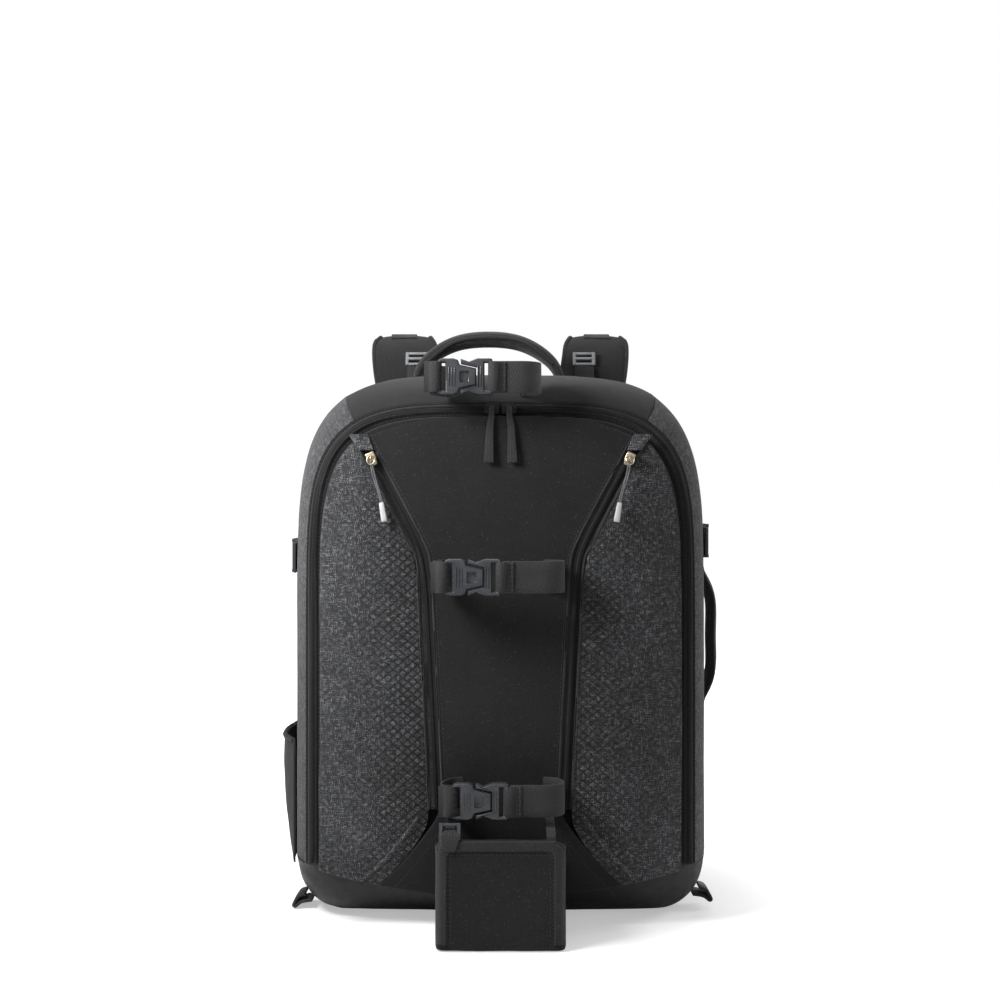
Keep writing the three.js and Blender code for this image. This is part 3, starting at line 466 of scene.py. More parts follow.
# Weave: over and under threads, Pitch apart. Turn says which thread is on top.
def makeWeave():
    group, start, end = newGroup("clothWeave", {"Along": 0.0, "Across": 0.0, "Pitch": 0.0008},
                                 ("Height", "Turn"))
    a = maths(group, "DIVIDE", start.outputs["Along"], start.outputs["Pitch"])
    b = maths(group, "DIVIDE", start.outputs["Across"], start.outputs["Pitch"])
    humpA = hump(group, a)
    humpB = hump(group, b)
    cell = maths(group, "ADD", maths(group, "FLOOR", a), maths(group, "FLOOR", b))
    turn = maths(group, "PINGPONG", cell, 1.0)
    warp = maths(group, "MULTIPLY", humpA, blendValue(group, humpB, 0.5, 1.0))
    weft = maths(group, "MULTIPLY", humpB, blendValue(group, humpA, 0.5, 1.0))
    group.links.new(blendValue(group, turn, weft, warp), end.inputs["Height"])
    group.links.new(turn, end.inputs["Turn"])
    return group


# Mixed yarns: each stretch of thread has its own shade, from 0 dark to 1 light.
def makeYarn():
    group, start, end = newGroup("mixedYarn", {"Along": 0.0, "Across": 0.0, "Pitch": 0.0009,
                                               "Stretch": 0.0035, "Turn": 0.0}, ("Shade",))
    shades = []
    for first, second, seed in (("Along", "Across", 0.0), ("Across", "Along", 7.0)):
        row = maths(group, "FLOOR", maths(group, "DIVIDE", start.outputs[second], start.outputs["Pitch"]))
        shift = maths(group, "MULTIPLY", row, 0.377)
        length = maths(group, "DIVIDE", start.outputs[first], start.outputs["Stretch"])
        run = maths(group, "ADD", length, shift)
        noise = group.nodes.new("ShaderNodeTexWhiteNoise")
        group.links.new(joinAxes(group, maths(group, "FLOOR", run), row, seed), noise.inputs["Vector"])
        shades.append(noise.outputs["Value"])
    group.links.new(blendValue(group, start.outputs["Turn"], shades[0], shades[1]), end.inputs["Shade"])
    return group


# Lattice of diamonds. Line is 1 on the lines.
def makeLattice():
    group, start, end = newGroup("diamondLattice", {"Along": 0.0, "Across": 0.0, "Width": 0.008,
                                                    "Height": 0.007, "Thick": 0.2}, ("Line",))
    a = maths(group, "DIVIDE", start.outputs["Along"], start.outputs["Width"])
    b = maths(group, "DIVIDE", start.outputs["Across"], start.outputs["Height"])
    inner = maths(group, "SUBTRACT", 1.0, start.outputs["Thick"])
    lines = []
    for operation in ("ADD", "SUBTRACT"):
        place = maths(group, "FRACT", maths(group, operation, a, b))
        near = maths(group, "MULTIPLY", maths(group, "ABSOLUTE", maths(group, "SUBTRACT", place, 0.5)), 2.0)
        lines.append(mapRange(group, near, inner, 1.0))
    group.links.new(maths(group, "MAXIMUM", *lines), end.inputs["Line"])
    return group


# Slow changes of tone, and pale lint here and there.
def makeWear():
    group, start, end = newGroup("toneAndLint", {"Vector": None, "Size": 14.0, "Lint": 0.3},
                                 ("Tone", "Lint"))
    slow = cloud(group, start.outputs["Vector"], start.outputs["Size"], 3.0, 0.6)
    group.links.new(mapRange(group, slow, 0.25, 0.75, 0.76, 1.22), end.inputs["Tone"])
    dots = cloud(group, start.outputs["Vector"], 900.0, 0.0)
    specks = mapRange(group, dots, 0.74, 0.8)
    group.links.new(maths(group, "MULTIPLY", specks, start.outputs["Lint"]), end.inputs["Lint"])
    return group


# Ribbed webbing: short bars across, in rows that are offset from each other.
def makeRibs():
    group, start, end = newGroup("webRibs", {"Along": 0.0, "Across": 0.0, "Pitch": 0.0016}, ("Height",))
    run, row = offsetRows(group, start, 1.6)
    bars = hump(group, run)
    edges = hump(group, row)
    group.links.new(maths(group, "MULTIPLY", bars, blendValue(group, edges, 0.35, 1.0)), end.inputs["Height"])
    return group


# Spacer mesh: staggered round holes. Hole is 1 inside them.
def makeHoles():
    group, start, end = newGroup("meshHoles", {"Along": 0.0, "Across": 0.0, "Pitch": 0.0028, "Size": 0.34},
                                 ("Hole",))
    rowShare = 0.86
    run, row = offsetRows(group, start, rowShare)
    dx = maths(group, "SUBTRACT", maths(group, "FRACT", run), 0.5)
    dy = maths(group, "MULTIPLY", maths(group, "SUBTRACT", maths(group, "FRACT", row), 0.5), rowShare)
    squares = [maths(group, "MULTIPLY", part, part) for part in (dx, dy)]
    away = maths(group, "SQRT", maths(group, "ADD", *squares))
    low = maths(group, "SUBTRACT", start.outputs["Size"], 0.1)
    group.links.new(mapRange(group, away, low, start.outputs["Size"], 1.0, 0.0), end.inputs["Hole"])
    return group


weaveGroup = makeWeave()
yarnGroup = makeYarn()
latticeGroup = makeLattice()
wearGroup = makeWear()
ribGroup = makeRibs()
holeGroup = makeHoles()


# Materials
def newMaterial(name, roughness, sheen=0.0, metallic=0.0, specular=0.5):
    material = bpy.data.materials.new(name)
    material.use_nodes = True
    tree = material.node_tree
    shader = tree.nodes["Principled BSDF"]
    shader.inputs["Roughness"].default_value = roughness
    shader.inputs["Metallic"].default_value = metallic
    shader.inputs["Specular IOR Level"].default_value = specular
    if sheen:
        shader.inputs["Sheen Weight"].default_value = sheen
        shader.inputs["Sheen Roughness"].default_value = 0.5
    coordinates = tree.nodes.new("ShaderNodeTexCoord").outputs["Object"]
    return material, tree, shader, coordinates


def useGroup(tree, group, **values):
    node = tree.nodes.new("ShaderNodeGroup")
    node.node_tree = group
    for label, value in values.items():
        feed(tree, value, node.inputs[label])
    return node.outputs


# Where a point lies along and across the threads.
def threadsOf(tree, coordinates, along, across):
    return {"Along": dotWith(tree, coordinates, along), "Across": dotWith(tree, coordinates, across)}


def colourBetween(tree, share, stops):
    ramp = tree.nodes.new("ShaderNodeValToRGB")
    while len(ramp.color_ramp.elements) < len(stops):
        ramp.color_ramp.elements.new(0.5)
    for element, (place, colour) in zip(ramp.color_ramp.elements, stops):
        element.position = place
        element.color = (*colour, 1)
    feed(tree, share, ramp.inputs[0])
    return ramp.outputs[0]


def scaleColour(tree, colour, factor):
    node = tree.nodes.new("ShaderNodeVectorMath")
    node.operation = "SCALE"
    feed(tree, colour, node.inputs[0])
    feed(tree, factor, node.inputs["Scale"])
    return node.outputs[0]


def mixColour(tree, share, low, high):
    node = tree.nodes.new("ShaderNodeMix")
    node.data_type = "RGBA"
    feed(tree, share, node.inputs[0])
    for socket, value in ((node.inputs[6], low), (node.inputs[7], high)):
        feed(tree, (*value, 1.0) if isinstance(value, tuple) else value, socket)
    return node.outputs[2]


def addBump(tree, shader, layers):
    last = None
    for height, distance in layers:
        bump = tree.nodes.new("ShaderNodeBump")
        bump.inputs["Strength"].default_value = 1.0
        bump.inputs["Distance"].default_value = distance * mm
        feed(tree, height, bump.inputs["Height"])
        if last:
            tree.links.new(last, bump.inputs["Normal"])
        last = bump.outputs["Normal"]
    tree.links.new(last, shader.inputs["Normal"])


heatherSet = {
    "stops": [(0.0, (0.016, 0.016, 0.017)), (0.5, (0.046, 0.0465, 0.049)), (0.82, (0.080, 0.081, 0.086)),
              (1.0, (0.20, 0.203, 0.212))],
    "pitch": 0.8,        # thread spacing, mm
    "stretch": 3.0,      # length of a fleck, mm
    "latticeWidth": 7.8,
    "latticeHeight": 6.6,
    "latticeThick": 0.6,
    "latticeDark": 0.85,
    "fadeAcross": 85,              # mm from the zip to where the lattice is faintest
    "fadeUp": (0.34, 0.40),        # metres above the floor between which it ends
}


# tone scales the whole colour; the per-side heather copies use it as painted light and painted shade.
def heatherCloth(name, along, across, lattice=0.0, inner=0.0, tone=1.0):
    material, tree, shader, coordinates = newMaterial(name, 0.95, sheen=0.15, specular=0.25)
    threads = threadsOf(tree, coordinates, along, across)
    pitch, stretch = heatherSet["pitch"] * mm, heatherSet["stretch"] * mm
    weave = useGroup(tree, weaveGroup, **threads, Pitch=pitch)
    yarn = useGroup(tree, yarnGroup, **threads, Pitch=pitch, Stretch=stretch, Turn=weave["Turn"])
    wear = useGroup(tree, wearGroup, Vector=coordinates, Size=9.0, Lint=0.1)
    colour = colourBetween(tree, yarn["Shade"], heatherSet["stops"])
    # The low points of the weave get painted shade between the threads.
    shade = maths(tree, "MULTIPLY", wear["Tone"], blendValue(tree, weave["Height"], 0.55 * tone, 1.1 * tone))
    layers = [(weave["Height"], 0.22)]
    if lattice:
        diamonds = useGroup(tree, latticeGroup, **threads, Width=heatherSet["latticeWidth"] * mm,
                            Height=heatherSet["latticeHeight"] * mm, Thick=heatherSet["latticeThick"])
        # The lattice is strongest beside the zip and fades out towards the top and the outer edge.
        x = maths(tree, "ABSOLUTE", dotWith(tree, coordinates, (1.0, 0.0, 0.0)))
        z = dotWith(tree, coordinates, (0.0, 0.0, 1.0))
        outer = inner + heatherSet["fadeAcross"]
        fade = maths(tree, "MULTIPLY", mapRange(tree, x, inner * mm, outer * mm, 1.0, 0.25),
                     mapRange(tree, z, *heatherSet["fadeUp"], 1.0, 0.15))
        strength = maths(tree, "MULTIPLY", maths(tree, "MULTIPLY", diamonds["Line"], fade), lattice)
        dark = maths(tree, "SUBTRACT", 1.0, maths(tree, "MULTIPLY", strength, heatherSet["latticeDark"]))
        shade = maths(tree, "MULTIPLY", shade, dark)
        layers.append((maths(tree, "MULTIPLY", strength, -1.0), 0.5))
    tree.links.new(scaleColour(tree, colour, shade), shader.inputs["Base Color"])
    addBump(tree, shader, layers)
    return material


def wovenCloth(name, along, across, colour, pitch=0.75, lift=0.16, roughness=0.88, sheen=0.1, lint=0.25):
    material, tree, shader, coordinates = newMaterial(name, roughness, sheen=sheen, specular=0.3)
    threads = threadsOf(tree, coordinates, along, across)
    weave = useGroup(tree, weaveGroup, **threads, Pitch=pitch * mm)
    yarn = useGroup(tree, yarnGroup, **threads, Pitch=pitch * mm, Stretch=0.006, Turn=weave["Turn"])
    wear = useGroup(tree, wearGroup, Vector=coordinates, Size=11.0, Lint=lint)
    # The low points of the weave are painted darker: painted shade between the threads.
    shade = maths(tree, "MULTIPLY", wear["Tone"], blendValue(tree, weave["Height"], 0.6, 1.15))
    shade = maths(tree, "MULTIPLY", shade, mapRange(tree, yarn["Shade"], 0.0, 1.0, 0.8, 1.2, gentle=False))
    base = scaleColour(tree, colour, shade)
    tree.links.new(mixColour(tree, wear["Lint"], base, (0.11, 0.11, 0.112)), shader.inputs["Base Color"])
    addBump(tree, shader, [(weave["Height"], lift)])
    return material


def coatedCloth(name, colour, roughness=0.5):
    material, tree, shader, coordinates = newMaterial(name, roughness, specular=0.5)
    wear = useGroup(tree, wearGroup, Vector=coordinates, Size=16.0, Lint=0.12)
    grain = cloud(tree, coordinates, 1100.0, 2.0)
    scuffs = cloud(tree, coordinates, 90.0, 4.0, 0.7)
    shade = maths(tree, "MULTIPLY", wear["Tone"], mapRange(tree, grain, 0.3, 0.7, 0.8, 1.2))
    base = scaleColour(tree, colour, shade)
    tree.links.new(mixColour(tree, wear["Lint"], base, (0.09, 0.09, 0.09)), shader.inputs["Base Color"])
    worn = mapRange(tree, scuffs, 0.35, 0.7, roughness - 0.06, roughness + 0.14)
    tree.links.new(worn, shader.inputs["Roughness"])
    addBump(tree, shader, [(scuffs, 0.25), (grain, 0.12)])
    return material


def spacerMesh(name, along, across, colour=(0.016, 0.016, 0.017), pitch=2.7):
    material, tree, shader, coordinates = newMaterial(name, 0.9, sheen=0.2, specular=0.3)
    threads = threadsOf(tree, coordinates, along, across)
    holes = useGroup(tree, holeGroup, **threads, Pitch=pitch * mm, Size=0.36)
    wear = useGroup(tree, wearGroup, Vector=coordinates, Size=12.0, Lint=0.2)
    weave = useGroup(tree, weaveGroup, **threads, Pitch=0.45 * mm)
    # The holes are painted dark: painted shade inside the mesh.
    shade = maths(tree, "MULTIPLY", wear["Tone"], mapRange(tree, holes["Hole"], 0.0, 1.0, 1.15, 0.25))
    tree.links.new(scaleColour(tree, colour, shade), shader.inputs["Base Color"])
    addBump(tree, shader, [(maths(tree, "MULTIPLY", holes["Hole"], -1.0), 0.7), (weave["Height"], 0.08)])
    return material


def webbing(name, along, across, colour=(0.018, 0.018, 0.0195), pitch=1.5):
    material, tree, shader, coordinates = newMaterial(name, 0.72, sheen=0.12, specular=0.4)
    threads = threadsOf(tree, coordinates, along, across)
    ribs = useGroup(tree, ribGroup, **threads, Pitch=pitch * mm)
    wear = useGroup(tree, wearGroup, Vector=coordinates, Size=18.0, Lint=0.3)
    # The grooves between the ribs are painted darker: painted shade.
    shade = maths(tree, "MULTIPLY", wear["Tone"], blendValue(tree, ribs["Height"], 0.55, 1.3))
    base = scaleColour(tree, colour, shade)
    tree.links.new(mixColour(tree, wear["Lint"], base, (0.12, 0.12, 0.12)), shader.inputs["Base Color"])
    addBump(tree, shader, [(ribs["Height"], 0.3)])
    return material


def moulded(name, colour, roughness=0.34, metallic=0.0, grainHeight=0.03, specular=0.5):
    material, tree, shader, coordinates = newMaterial(name, roughness, metallic=metallic, specular=specular)
    wear = useGroup(tree, wearGroup, Vector=coordinates, Size=30.0, Lint=0.0)
    grain = cloud(tree, coordinates, 1500.0, 2.0)
    marks = cloud(tree, coordinates, 160.0, 4.0, 0.65)
    tree.links.new(scaleColour(tree, colour, wear["Tone"]), shader.inputs["Base Color"])
    worn = mapRange(tree, marks, 0.35, 0.7, roughness - 0.06, roughness + 0.12)
    tree.links.new(worn, shader.inputs["Roughness"])
    addBump(tree, shader, [(grain, grainHeight)])
    return material


# Directions along and across the threads
front = ((1.0, 0.0, 0.0), (0.0, 0.0, 1.0))
leftWrap = ((-1.0, 1.0, 0.0), (1.0, 0.0, 1.0))
rightWrap = ((1.0, 1.0, 0.0), (-1.0, 0.0, 1.0))
overTop = ((1.0, 0.0, 0.0), (0.0, 1.0, 1.0))
downStrap = ((0.0, 0.0, 1.0), (1.0, 0.0, 0.0))

blackTone = (0.0105, 0.0105, 0.0112)
finishes = {
    # The heather copies carry painted light and shade in their tone: the left panel and right side wall are
    # painted lighter, the right panel and left side wall painted darker.
    "heatherLeft": heatherCloth("heatherPanelLeftPaintedLit", *front, lattice=1.0, inner=58, tone=1.1),
    "heatherRight": heatherCloth("heatherPanelRightPaintedShade", *front, lattice=0.8, inner=58, tone=0.95),
    "gussetLeft": heatherCloth("heatherSideLeftPaintedShade", *leftWrap, tone=0.9),
    "gussetRight": heatherCloth("heatherSideRightPaintedLit", *rightWrap, tone=1.35),
    "flap": heatherCloth("heatherFlap", *front, tone=1.15),
    "black": wovenCloth("blackFrontCloth", *front, blackTone),
    "blackTop": wovenCloth("blackTopCloth", *overTop, (0.013, 0.013, 0.0138)),
    "blackLeft": wovenCloth("stretchPocketCloth", *leftWrap, (0.012, 0.012, 0.013), pitch=1.1, lift=0.2),
    "cup": wovenCloth("cupCloth", *front, blackTone, pitch=0.9, lift=0.2),
    "boot": coatedCloth("coatedBase", (0.010, 0.010, 0.0104)),
    "mesh": spacerMesh("spacerMeshBack", *front),
    "meshTop": spacerMesh("spacerMeshTop", *overTop, (0.026, 0.026, 0.027), pitch=2.2),
    "strapCover": wovenCloth("strapCoverCloth", *overTop, (0.020, 0.020, 0.021), pitch=0.9, lift=0.2),
    "meshSide": spacerMesh("spacerMeshSide", *rightWrap, pitch=2.2),
    "webLeft": webbing("webbingLeft", *leftWrap),
    "webRight": webbing("webbingRight", *rightWrap),
    "webDown": webbing("webbingDown", *downStrap),
    "binding": webbing("bindingTape", *front, colour=(0.014, 0.014, 0.015), pitch=0.9),
    "buckle": moulded("buckleAcetal", (0.040, 0.042, 0.047), 0.2),
    "grayBuckle": moulded("lightAcetal", (0.23, 0.235, 0.245), 0.42),
    "zipTape": wovenCloth("zipTapeCloth", *front, (0.009, 0.009, 0.010), pitch=0.6, lift=0.1, lint=0.1),
    "zipCoil": moulded("zipCoilNylon", (0.010, 0.010, 0.011), 0.6, specular=0.25),
    "brass": moulded("sliderBrass", (0.50, 0.42, 0.30), 0.28, metallic=0.95),
    "cord": webbing("pullCordBraid", *downStrap, colour=(0.16, 0.16, 0.165), pitch=0.8),
    "tip": moulded("pullTipRubber", (0.46, 0.46, 0.45), 0.5),
    "thread": moulded("sewingThread", (0.020, 0.020, 0.022), 0.6, grainHeight=0.0),
    "paleThread": moulded("paleThread", (0.055, 0.056, 0.06), 0.6, grainHeight=0.0),
}
print("materials are made")


# Middle line of the right pull cord, as in the part's source; the left one mirrors it.
cordRoute = [
    (0.1036, -0.1214, 0.3784),
    (0.1034, -0.1219, 0.3762),
    (0.1031, -0.1223, 0.3740),
    (0.1027, -0.1227, 0.3718),
    (0.1022, -0.1230, 0.3696),
    (0.1017, -0.1233, 0.3674),
    (0.1011, -0.1236, 0.3652),
    (0.1004, -0.1239, 0.3630),
    (0.0997, -0.1242, 0.3608),
    (0.0990, -0.1245, 0.3586),
    (0.0983, -0.1248, 0.3564),
    (0.0976, -0.1251, 0.3542),
    (0.0969, -0.1254, 0.3520),
    (0.0963, -0.1257, 0.3498),
    (0.0958, -0.1260, 0.3476),
    (0.0954, -0.1263, 0.3454),
]
cordSet = {"strand": 1.15, "apart": 0.62, "parting": 0.2, "partSteps": 9, "steps": 30, "diameter": 2.4}


def makePullCord(name, side):
    route = [Vector((side * x, y, z)) for x, y, z in cordRoute]
    strands = []
    for way in (-1, 1):
        points = []
        for i, point in enumerate(route):
            # the two strands part a little below the ring
            parting = math.sin(math.pi * min(i / cordSet["partSteps"], 1)) * cordSet["parting"]
            points.append(point + Vector((way * (cordSet["apart"] + parting) * mm, 0, 0)))
        strands.append(tube(smoothLine(points, cordSet["steps"]), cordSet["strand"] * mm / 2, "strand"))
    cord = join(strands, f"pullCord{name.title()}")
    finish(cord, finishes["cord"], "pull_cord", f"pull_cord_{name}")
    tip = softCopy(f"pull_tip_{name}", f"pullTip{name.title()}", levels=2, crease=0.35, sharp=35)
    finish(tip, finishes["tip"], "pull_tip", f"pull_tip_{name}")


for name, side in sides.items():
    makePullCord(name, side)
print("pull cords are made")


def roundedBox(size, place, edge, name):
    bpy.ops.object.select_all(action="DESELECT")
    bpy.ops.mesh.primitive_cube_add(size=1, location=[c * mm for c in place])
    piece = bpy.context.active_object
    piece.name = name
    piece.scale = [c * mm for c in size]
    placeInMesh(piece)
    addModifier(piece, "BEVEL", width=edge * mm, segments=3, limit_method="NONE")
    smooth(piece, 35)
    return piece


# Frame of a ladder lock: two rails and three bars. It lies flat in x and y until it is turned and moved.
lockSet = {
    "rail": 3.2,
    "bar": 2.6,
    "barInset": 2,
    "height": 3.4,
    "edge": 0.8,
    "barShares": {-1: 0.8, 0: 1.2, 1: 0.8},       # of the height, and the middle bar is the highest
}


def ladderLock(width, length, name):
    edge, height = lockSet["edge"], lockSet["height"]
    aside = (width - lockSet["rail"]) / 2
    reach = (length - lockSet["bar"]) / 2
    pieces = []
    for way in (-1, 1):
        pieces.append(roundedBox((lockSet["rail"], length, height), (way * aside, 0, 0), edge, "rail"))
    for place, share in lockSet["barShares"].items():
        size = (width - lockSet["barInset"], lockSet["bar"], height * share)
        pieces.append(roundedBox(size, (0, place * reach, 0), edge, "bar"))
    return join(pieces, name)


# Turns a flat piece so that its y runs along a direction and its z points out, and moves it to a place.
def setDown(piece, place, ahead, out):
    ahead = Vector(ahead).normalized()
    across = ahead.cross(Vector(out)).normalized()
    out = across.cross(ahead)
    for vertex in piece.data.vertices:
        vertex.co = place + across * vertex.co.x + ahead * vertex.co.y + out * vertex.co.z
    piece.data.update()
    return piece


# Where a padded strap's edge is, seen from the side, for each point of its middle line.
def edgeLine(surface, line, sideways, way, reach=0.08):
    sideways = Vector(sideways) * way
    places = []
    for point in line:
        place = surface.ray_cast(point + sideways * reach, -sideways)[0]
        if place is not None and (place - point).length < reach:
            places.append(place)
    return places


# Where a strap's outer face is. The line's outer side is sideways x ahead.
def faceLine(surface, line, sideways, lift, reach=0.03):
    places = []
    for i, point in enumerate(line):
        out = Vector(sideways).cross(aheadAt(line, i))
        place = surface.ray_cast(point + out * reach, -out)[0]
        places.append((place if place is not None else point) + out * lift)
    return places


# Grosgrain folded over both edges of a padded strap.
def bindEdges(surface, line, sideways, radius, name):
    edges = []
    for way in (-1, 1):
        places = edgeLine(surface, line, sideways, way)
        edges.append(tube(smoothLine(places, 4 * len(places)), radius * mm, "edge", 8))
    finish(join(edges, name), finishes["binding"], "webbing")


def stitchesOn(line, name):
    stitches = []
    for i in range(0, len(line) - 1, 2):
        stitches.append(tube([line[i], line[i + 1]], threadSet["width"] * mm / 2, "stitch", 5))
    return join(stitches, name)


# Rows of stitches along flat lines, laid on a surface that is seen from one side.
def sewRows(lines, surface, view, name, thread, slotName):
    rows = [stitchLine(line, surface, view, "row") for line in lines]
    stitches = join(rows, name)
    smooth(stitches, 60)
    finish(stitches, finishes[thread], slotName)


# Rolled edges beside a line, each with its offset, width and height.
def rollEdges(line, edges, surface, name, slotName):
    rolls = []
    for offset, width, height in edges:
        roll = bandAlong(offsetLine(line, offset), roundSection(width, height), "roll")
        rolls.append(layOn(roll, surface, "front"))
    rolls = join(rolls, name)
    smooth(rolls, 60)
    finish(rolls, finishes["binding"], slotName)


# A length of webbing as the node shapes it.
def webOf(node, name, crease=0.9):
    web = softCopy(node, name, levels=2, crease=crease)
    finish(web, finishes["webDown"], "webbing", node)


# Shape of the case's front edge, as an arch from one foot to the other.
caseShape = {
    "spring": 250,
    "power": 4.2,
    "half": 159,
    "top": 427,
    "foot": 50.4,
    "legSteps": 16,
    "archSteps": 120,
}


def arch(inset):
    half, top = caseShape["half"] - inset, caseShape["top"] - inset
    spring, foot = caseShape["spring"], caseShape["foot"]
    legSteps, archSteps = caseShape["legSteps"], caseShape["archSteps"]
    power = 2 / caseShape["power"]
    leg = [(half, foot + (spring - foot) * i / legSteps) for i in range(legSteps)]
    points = [(-x, z) for x, z in leg]
    for i in range(archSteps + 1):
        angle = math.pi * (1 - i / archSteps)
        x = half * abs(math.cos(angle)) ** power * (1 if math.cos(angle) > 0 else -1)
        points.append((x, spring + (top - spring) * max(math.sin(angle), 0) ** power))
    return points + leg[::-1]


# Case
# Shells have a name, the height and size of their folds in mm, a finish and a slot.
caseShells = {
    "boot": ("bootShell", 1.1, 55, "boot", "coated_fabric"),
    "gusset_left": ("sideWallLeft", 1.0, 70, "gussetLeft", "heather_fabric"),
    "gusset_right": ("sideWallRight", 1.0, 70, "gussetRight", "heather_fabric"),
    "top_gusset": ("topBand", 2.2, 60, "blackTop", "black_fabric"),
}
# Boards have a name, the round of their edges in mm, a finish and a slot.
caseBoards = {
    "back_wall": ("backBoard", 1.6, "mesh", "mesh_fabric"),
    "lid_panel": ("lidBoard", 2.2, "black", "black_fabric"),
}


def makeCase():
    for node, (name, height, size, cloth, slotName) in caseShells.items():
        shell = softCopy(node, name, levels=3, crease=0.8)
        rumple(shell, height, size)
        finish(shell, finishes[cloth], slotName, node)
    for node, (name, edge, cloth, slotName) in caseBoards.items():
        finish(crispCopy(node, name, edge), finishes[cloth], slotName, node)


makeCase()
print("case is made")


# Front pocket
# Seam between the middle panel and the right panel, from the bottom up, in mm.
seamLine = [(98.5, 31.4), (76.4, 56.4), (56.6, 83.8), (51.7, 98.6), (53.8, 149.4), (56.4, 201.3),
            (59.1, 254.9), (61.7, 297.0), (68.1, 314.2), (82.3, 341.6), (97.8, 369.7), (112.0, 395.5)]
zipStart = 3
pocketSet = {
    "tooth": {"length": 3.0, "width": 0.95, "height": 1.1, "pitch": 1.45},
    "coilOffset": 2.2,                                  # from the seam towards the side panel
    "edges": ((5.6, 2.6, 1.9), (-5.6, 2.2, 1.5)),       # offset, width and height of the rolled edges
    "stitchOffsets": (8.4, -8.0),
    "middleFolds": ((2.6, 70), (0.7, 24)),              # height and size
    "sideFolds": (2.2, 62),
    "pleat": ((66, 92), (80, 73), (95, 55), (110, 40)),
    "pleatSection": (3.4, 2.0),
    "pleatStitch": 3.0,
}


def toothUnit(length, width, height, pitch):
    bpy.ops.object.select_all(action="DESELECT")
    bpy.ops.mesh.primitive_cylinder_add(vertices=6, radius=0.5, depth=1,
                                        rotation=(math.radians(90), 0, math.radians(24)))
    unit = bpy.context.active_object
    placeInMesh(unit)
    unit.scale = (width * mm, length * mm, height * mm)
    unit.location = (pitch * mm / 2, 0, 0)
    placeInMesh(unit)
    return unit


def coilAlong(points, tooth, surface, name):
    coil = repeatAlong(toothUnit(**tooth), points, tooth["pitch"] * mm, name)
    smooth(layOn(coil, surface, "front"), 50)
    finish(coil, finishes["zipCoil"], "zip_tape")


# A line of the right half, on its own side of the bag.
def onSide(points, side, steps):
    return smoothLine(inMetres([(side * x, z) for x, z in points]), steps)


# Coil, rolled edges, stitches and pleat of one side of the front pocket.
def trimPocket(surface, title, side):
    zipLine = onSide(seamLine[zipStart:], side, 90)
    wholeLine = onSide(seamLine, side, 110)
    pleat = onSide(pocketSet["pleat"], side, 20)
    coilAlong(offsetLine(zipLine, side * pocketSet["coilOffset"]), pocketSet["tooth"], surface,
              f"pocketCoil{title}")
    edges = [(side * offset, width, height) for offset, width, height in pocketSet["edges"]]
    rollEdges(zipLine, edges, surface, f"pocketZipEdge{title}", "black_fabric")
    lines = [offsetLine(wholeLine, side * offset) for offset in pocketSet["stitchOffsets"]]
    lines.append(offsetLine(pleat, side * pocketSet["pleatStitch"]))
    sewRows(lines, surface, "front", f"pocketStitches{title}", "thread", "heather_fabric")
    crease = bandAlong(pleat, roundSection(*pocketSet["pleatSection"]), f"pocketPleat{title}")
    smooth(layOn(crease, surface, "front"), 60)
    finish(crease, finishes["flap"], "heather_fabric")


def makePocket():
    middle = softCopy("pocket_panel_center", "pocketMiddle", levels=3, crease=0.6)
    for height, size in pocketSet["middleFolds"]:
        rumple(middle, height, size)
    panels = {}
    for name in sides:
        panels[name] = softCopy(f"pocket_panel_{name}", f"pocketSide{name.title()}", levels=3, crease=0.55)
        rumple(panels[name], *pocketSet["sideFolds"])
    tapes = {}
    for name in sides:
        tapes[name] = softCopy(f"pocket_zip_{name}", f"pocketZipTape{name.title()}", levels=2, crease=0.9)
    surface = surfaceOf(middle, *panels.values(), *tapes.values())
    finish(middle, finishes["black"], "black_fabric", "pocket_panel_center")
    for name, side in sides.items():
        title = name.title()
        finish(panels[name], finishes[f"heather{title}"], "heather_fabric", f"pocket_panel_{name}")
        finish(tapes[name], finishes["zipTape"], "zip_tape", f"pocket_zip_{name}")
        trimPocket(surface, title, side)


makePocket()
print("front pocket is made")


# Zip sliders, rings and flaps
# Wire rings in mm and degrees, forward of the slider's face and up from its middle. None is quite round.
wireRings = (
    {"radius": 2.0, "wire": 0.7, "steps": 20, "forward": -0.3, "up": 0,
     "turn": (0, 90, 0), "scale": (1, 1, 1.25)},
    {"radius": 3.6, "wire": 0.62, "steps": 28, "forward": 1.6, "up": -1.2,
     "turn": (78, 0, 0), "scale": (0.86, 1, 1.1)},
)


def wireRing(sizes, x, y, z):
    bpy.ops.object.select_all(action="DESELECT")
    bpy.ops.mesh.primitive_torus_add(major_radius=sizes["radius"] * mm, minor_radius=sizes["wire"] * mm,
                                     major_segments=sizes["steps"], minor_segments=8,
                                     rotation=[math.radians(angle) for angle in sizes["turn"]],
                                     location=(x, y - sizes["forward"] * mm, z + sizes["up"] * mm))
    ring = bpy.context.active_object
    ring.scale = sizes["scale"]
    placeInMesh(ring)
    smooth(ring, 60)
    return ring


def makeSlider(name):
    low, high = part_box(f"pocket_slider_{name}")
    middle = (low + high) / 2
    body = crispCopy(f"pocket_slider_{name}", "sliderBody", edge=0.7)
    rings = [wireRing(sizes, middle.x, low.y, middle.z) for sizes in wireRings]
    slider = join([body, *rings], f"zipSlider{name.title()}")
    finish(slider, finishes["brass"], "slider_metal", f"pocket_slider_{name}")
    flap = softCopy(f"garage_{name}", f"zipFlap{name.title()}", levels=3, crease=0.5)
    finish(flap, finishes["flap"], "heather_fabric", f"garage_{name}")


for name in sides:
    makeSlider(name)
print("sliders are made")


# Main zip
mainZipSet = {
    "middle": 5.8,
    "steps": 420,
    "tooth": {"length": 3.4, "width": 1.0, "height": 1.2, "pitch": 1.7},
    "lips": ((-2.6, 2.4, 2.0), (2.6, 2.4, 2.0)),        # offset, width and height
    "stitchOffsets": (-4.9, 4.9),
}


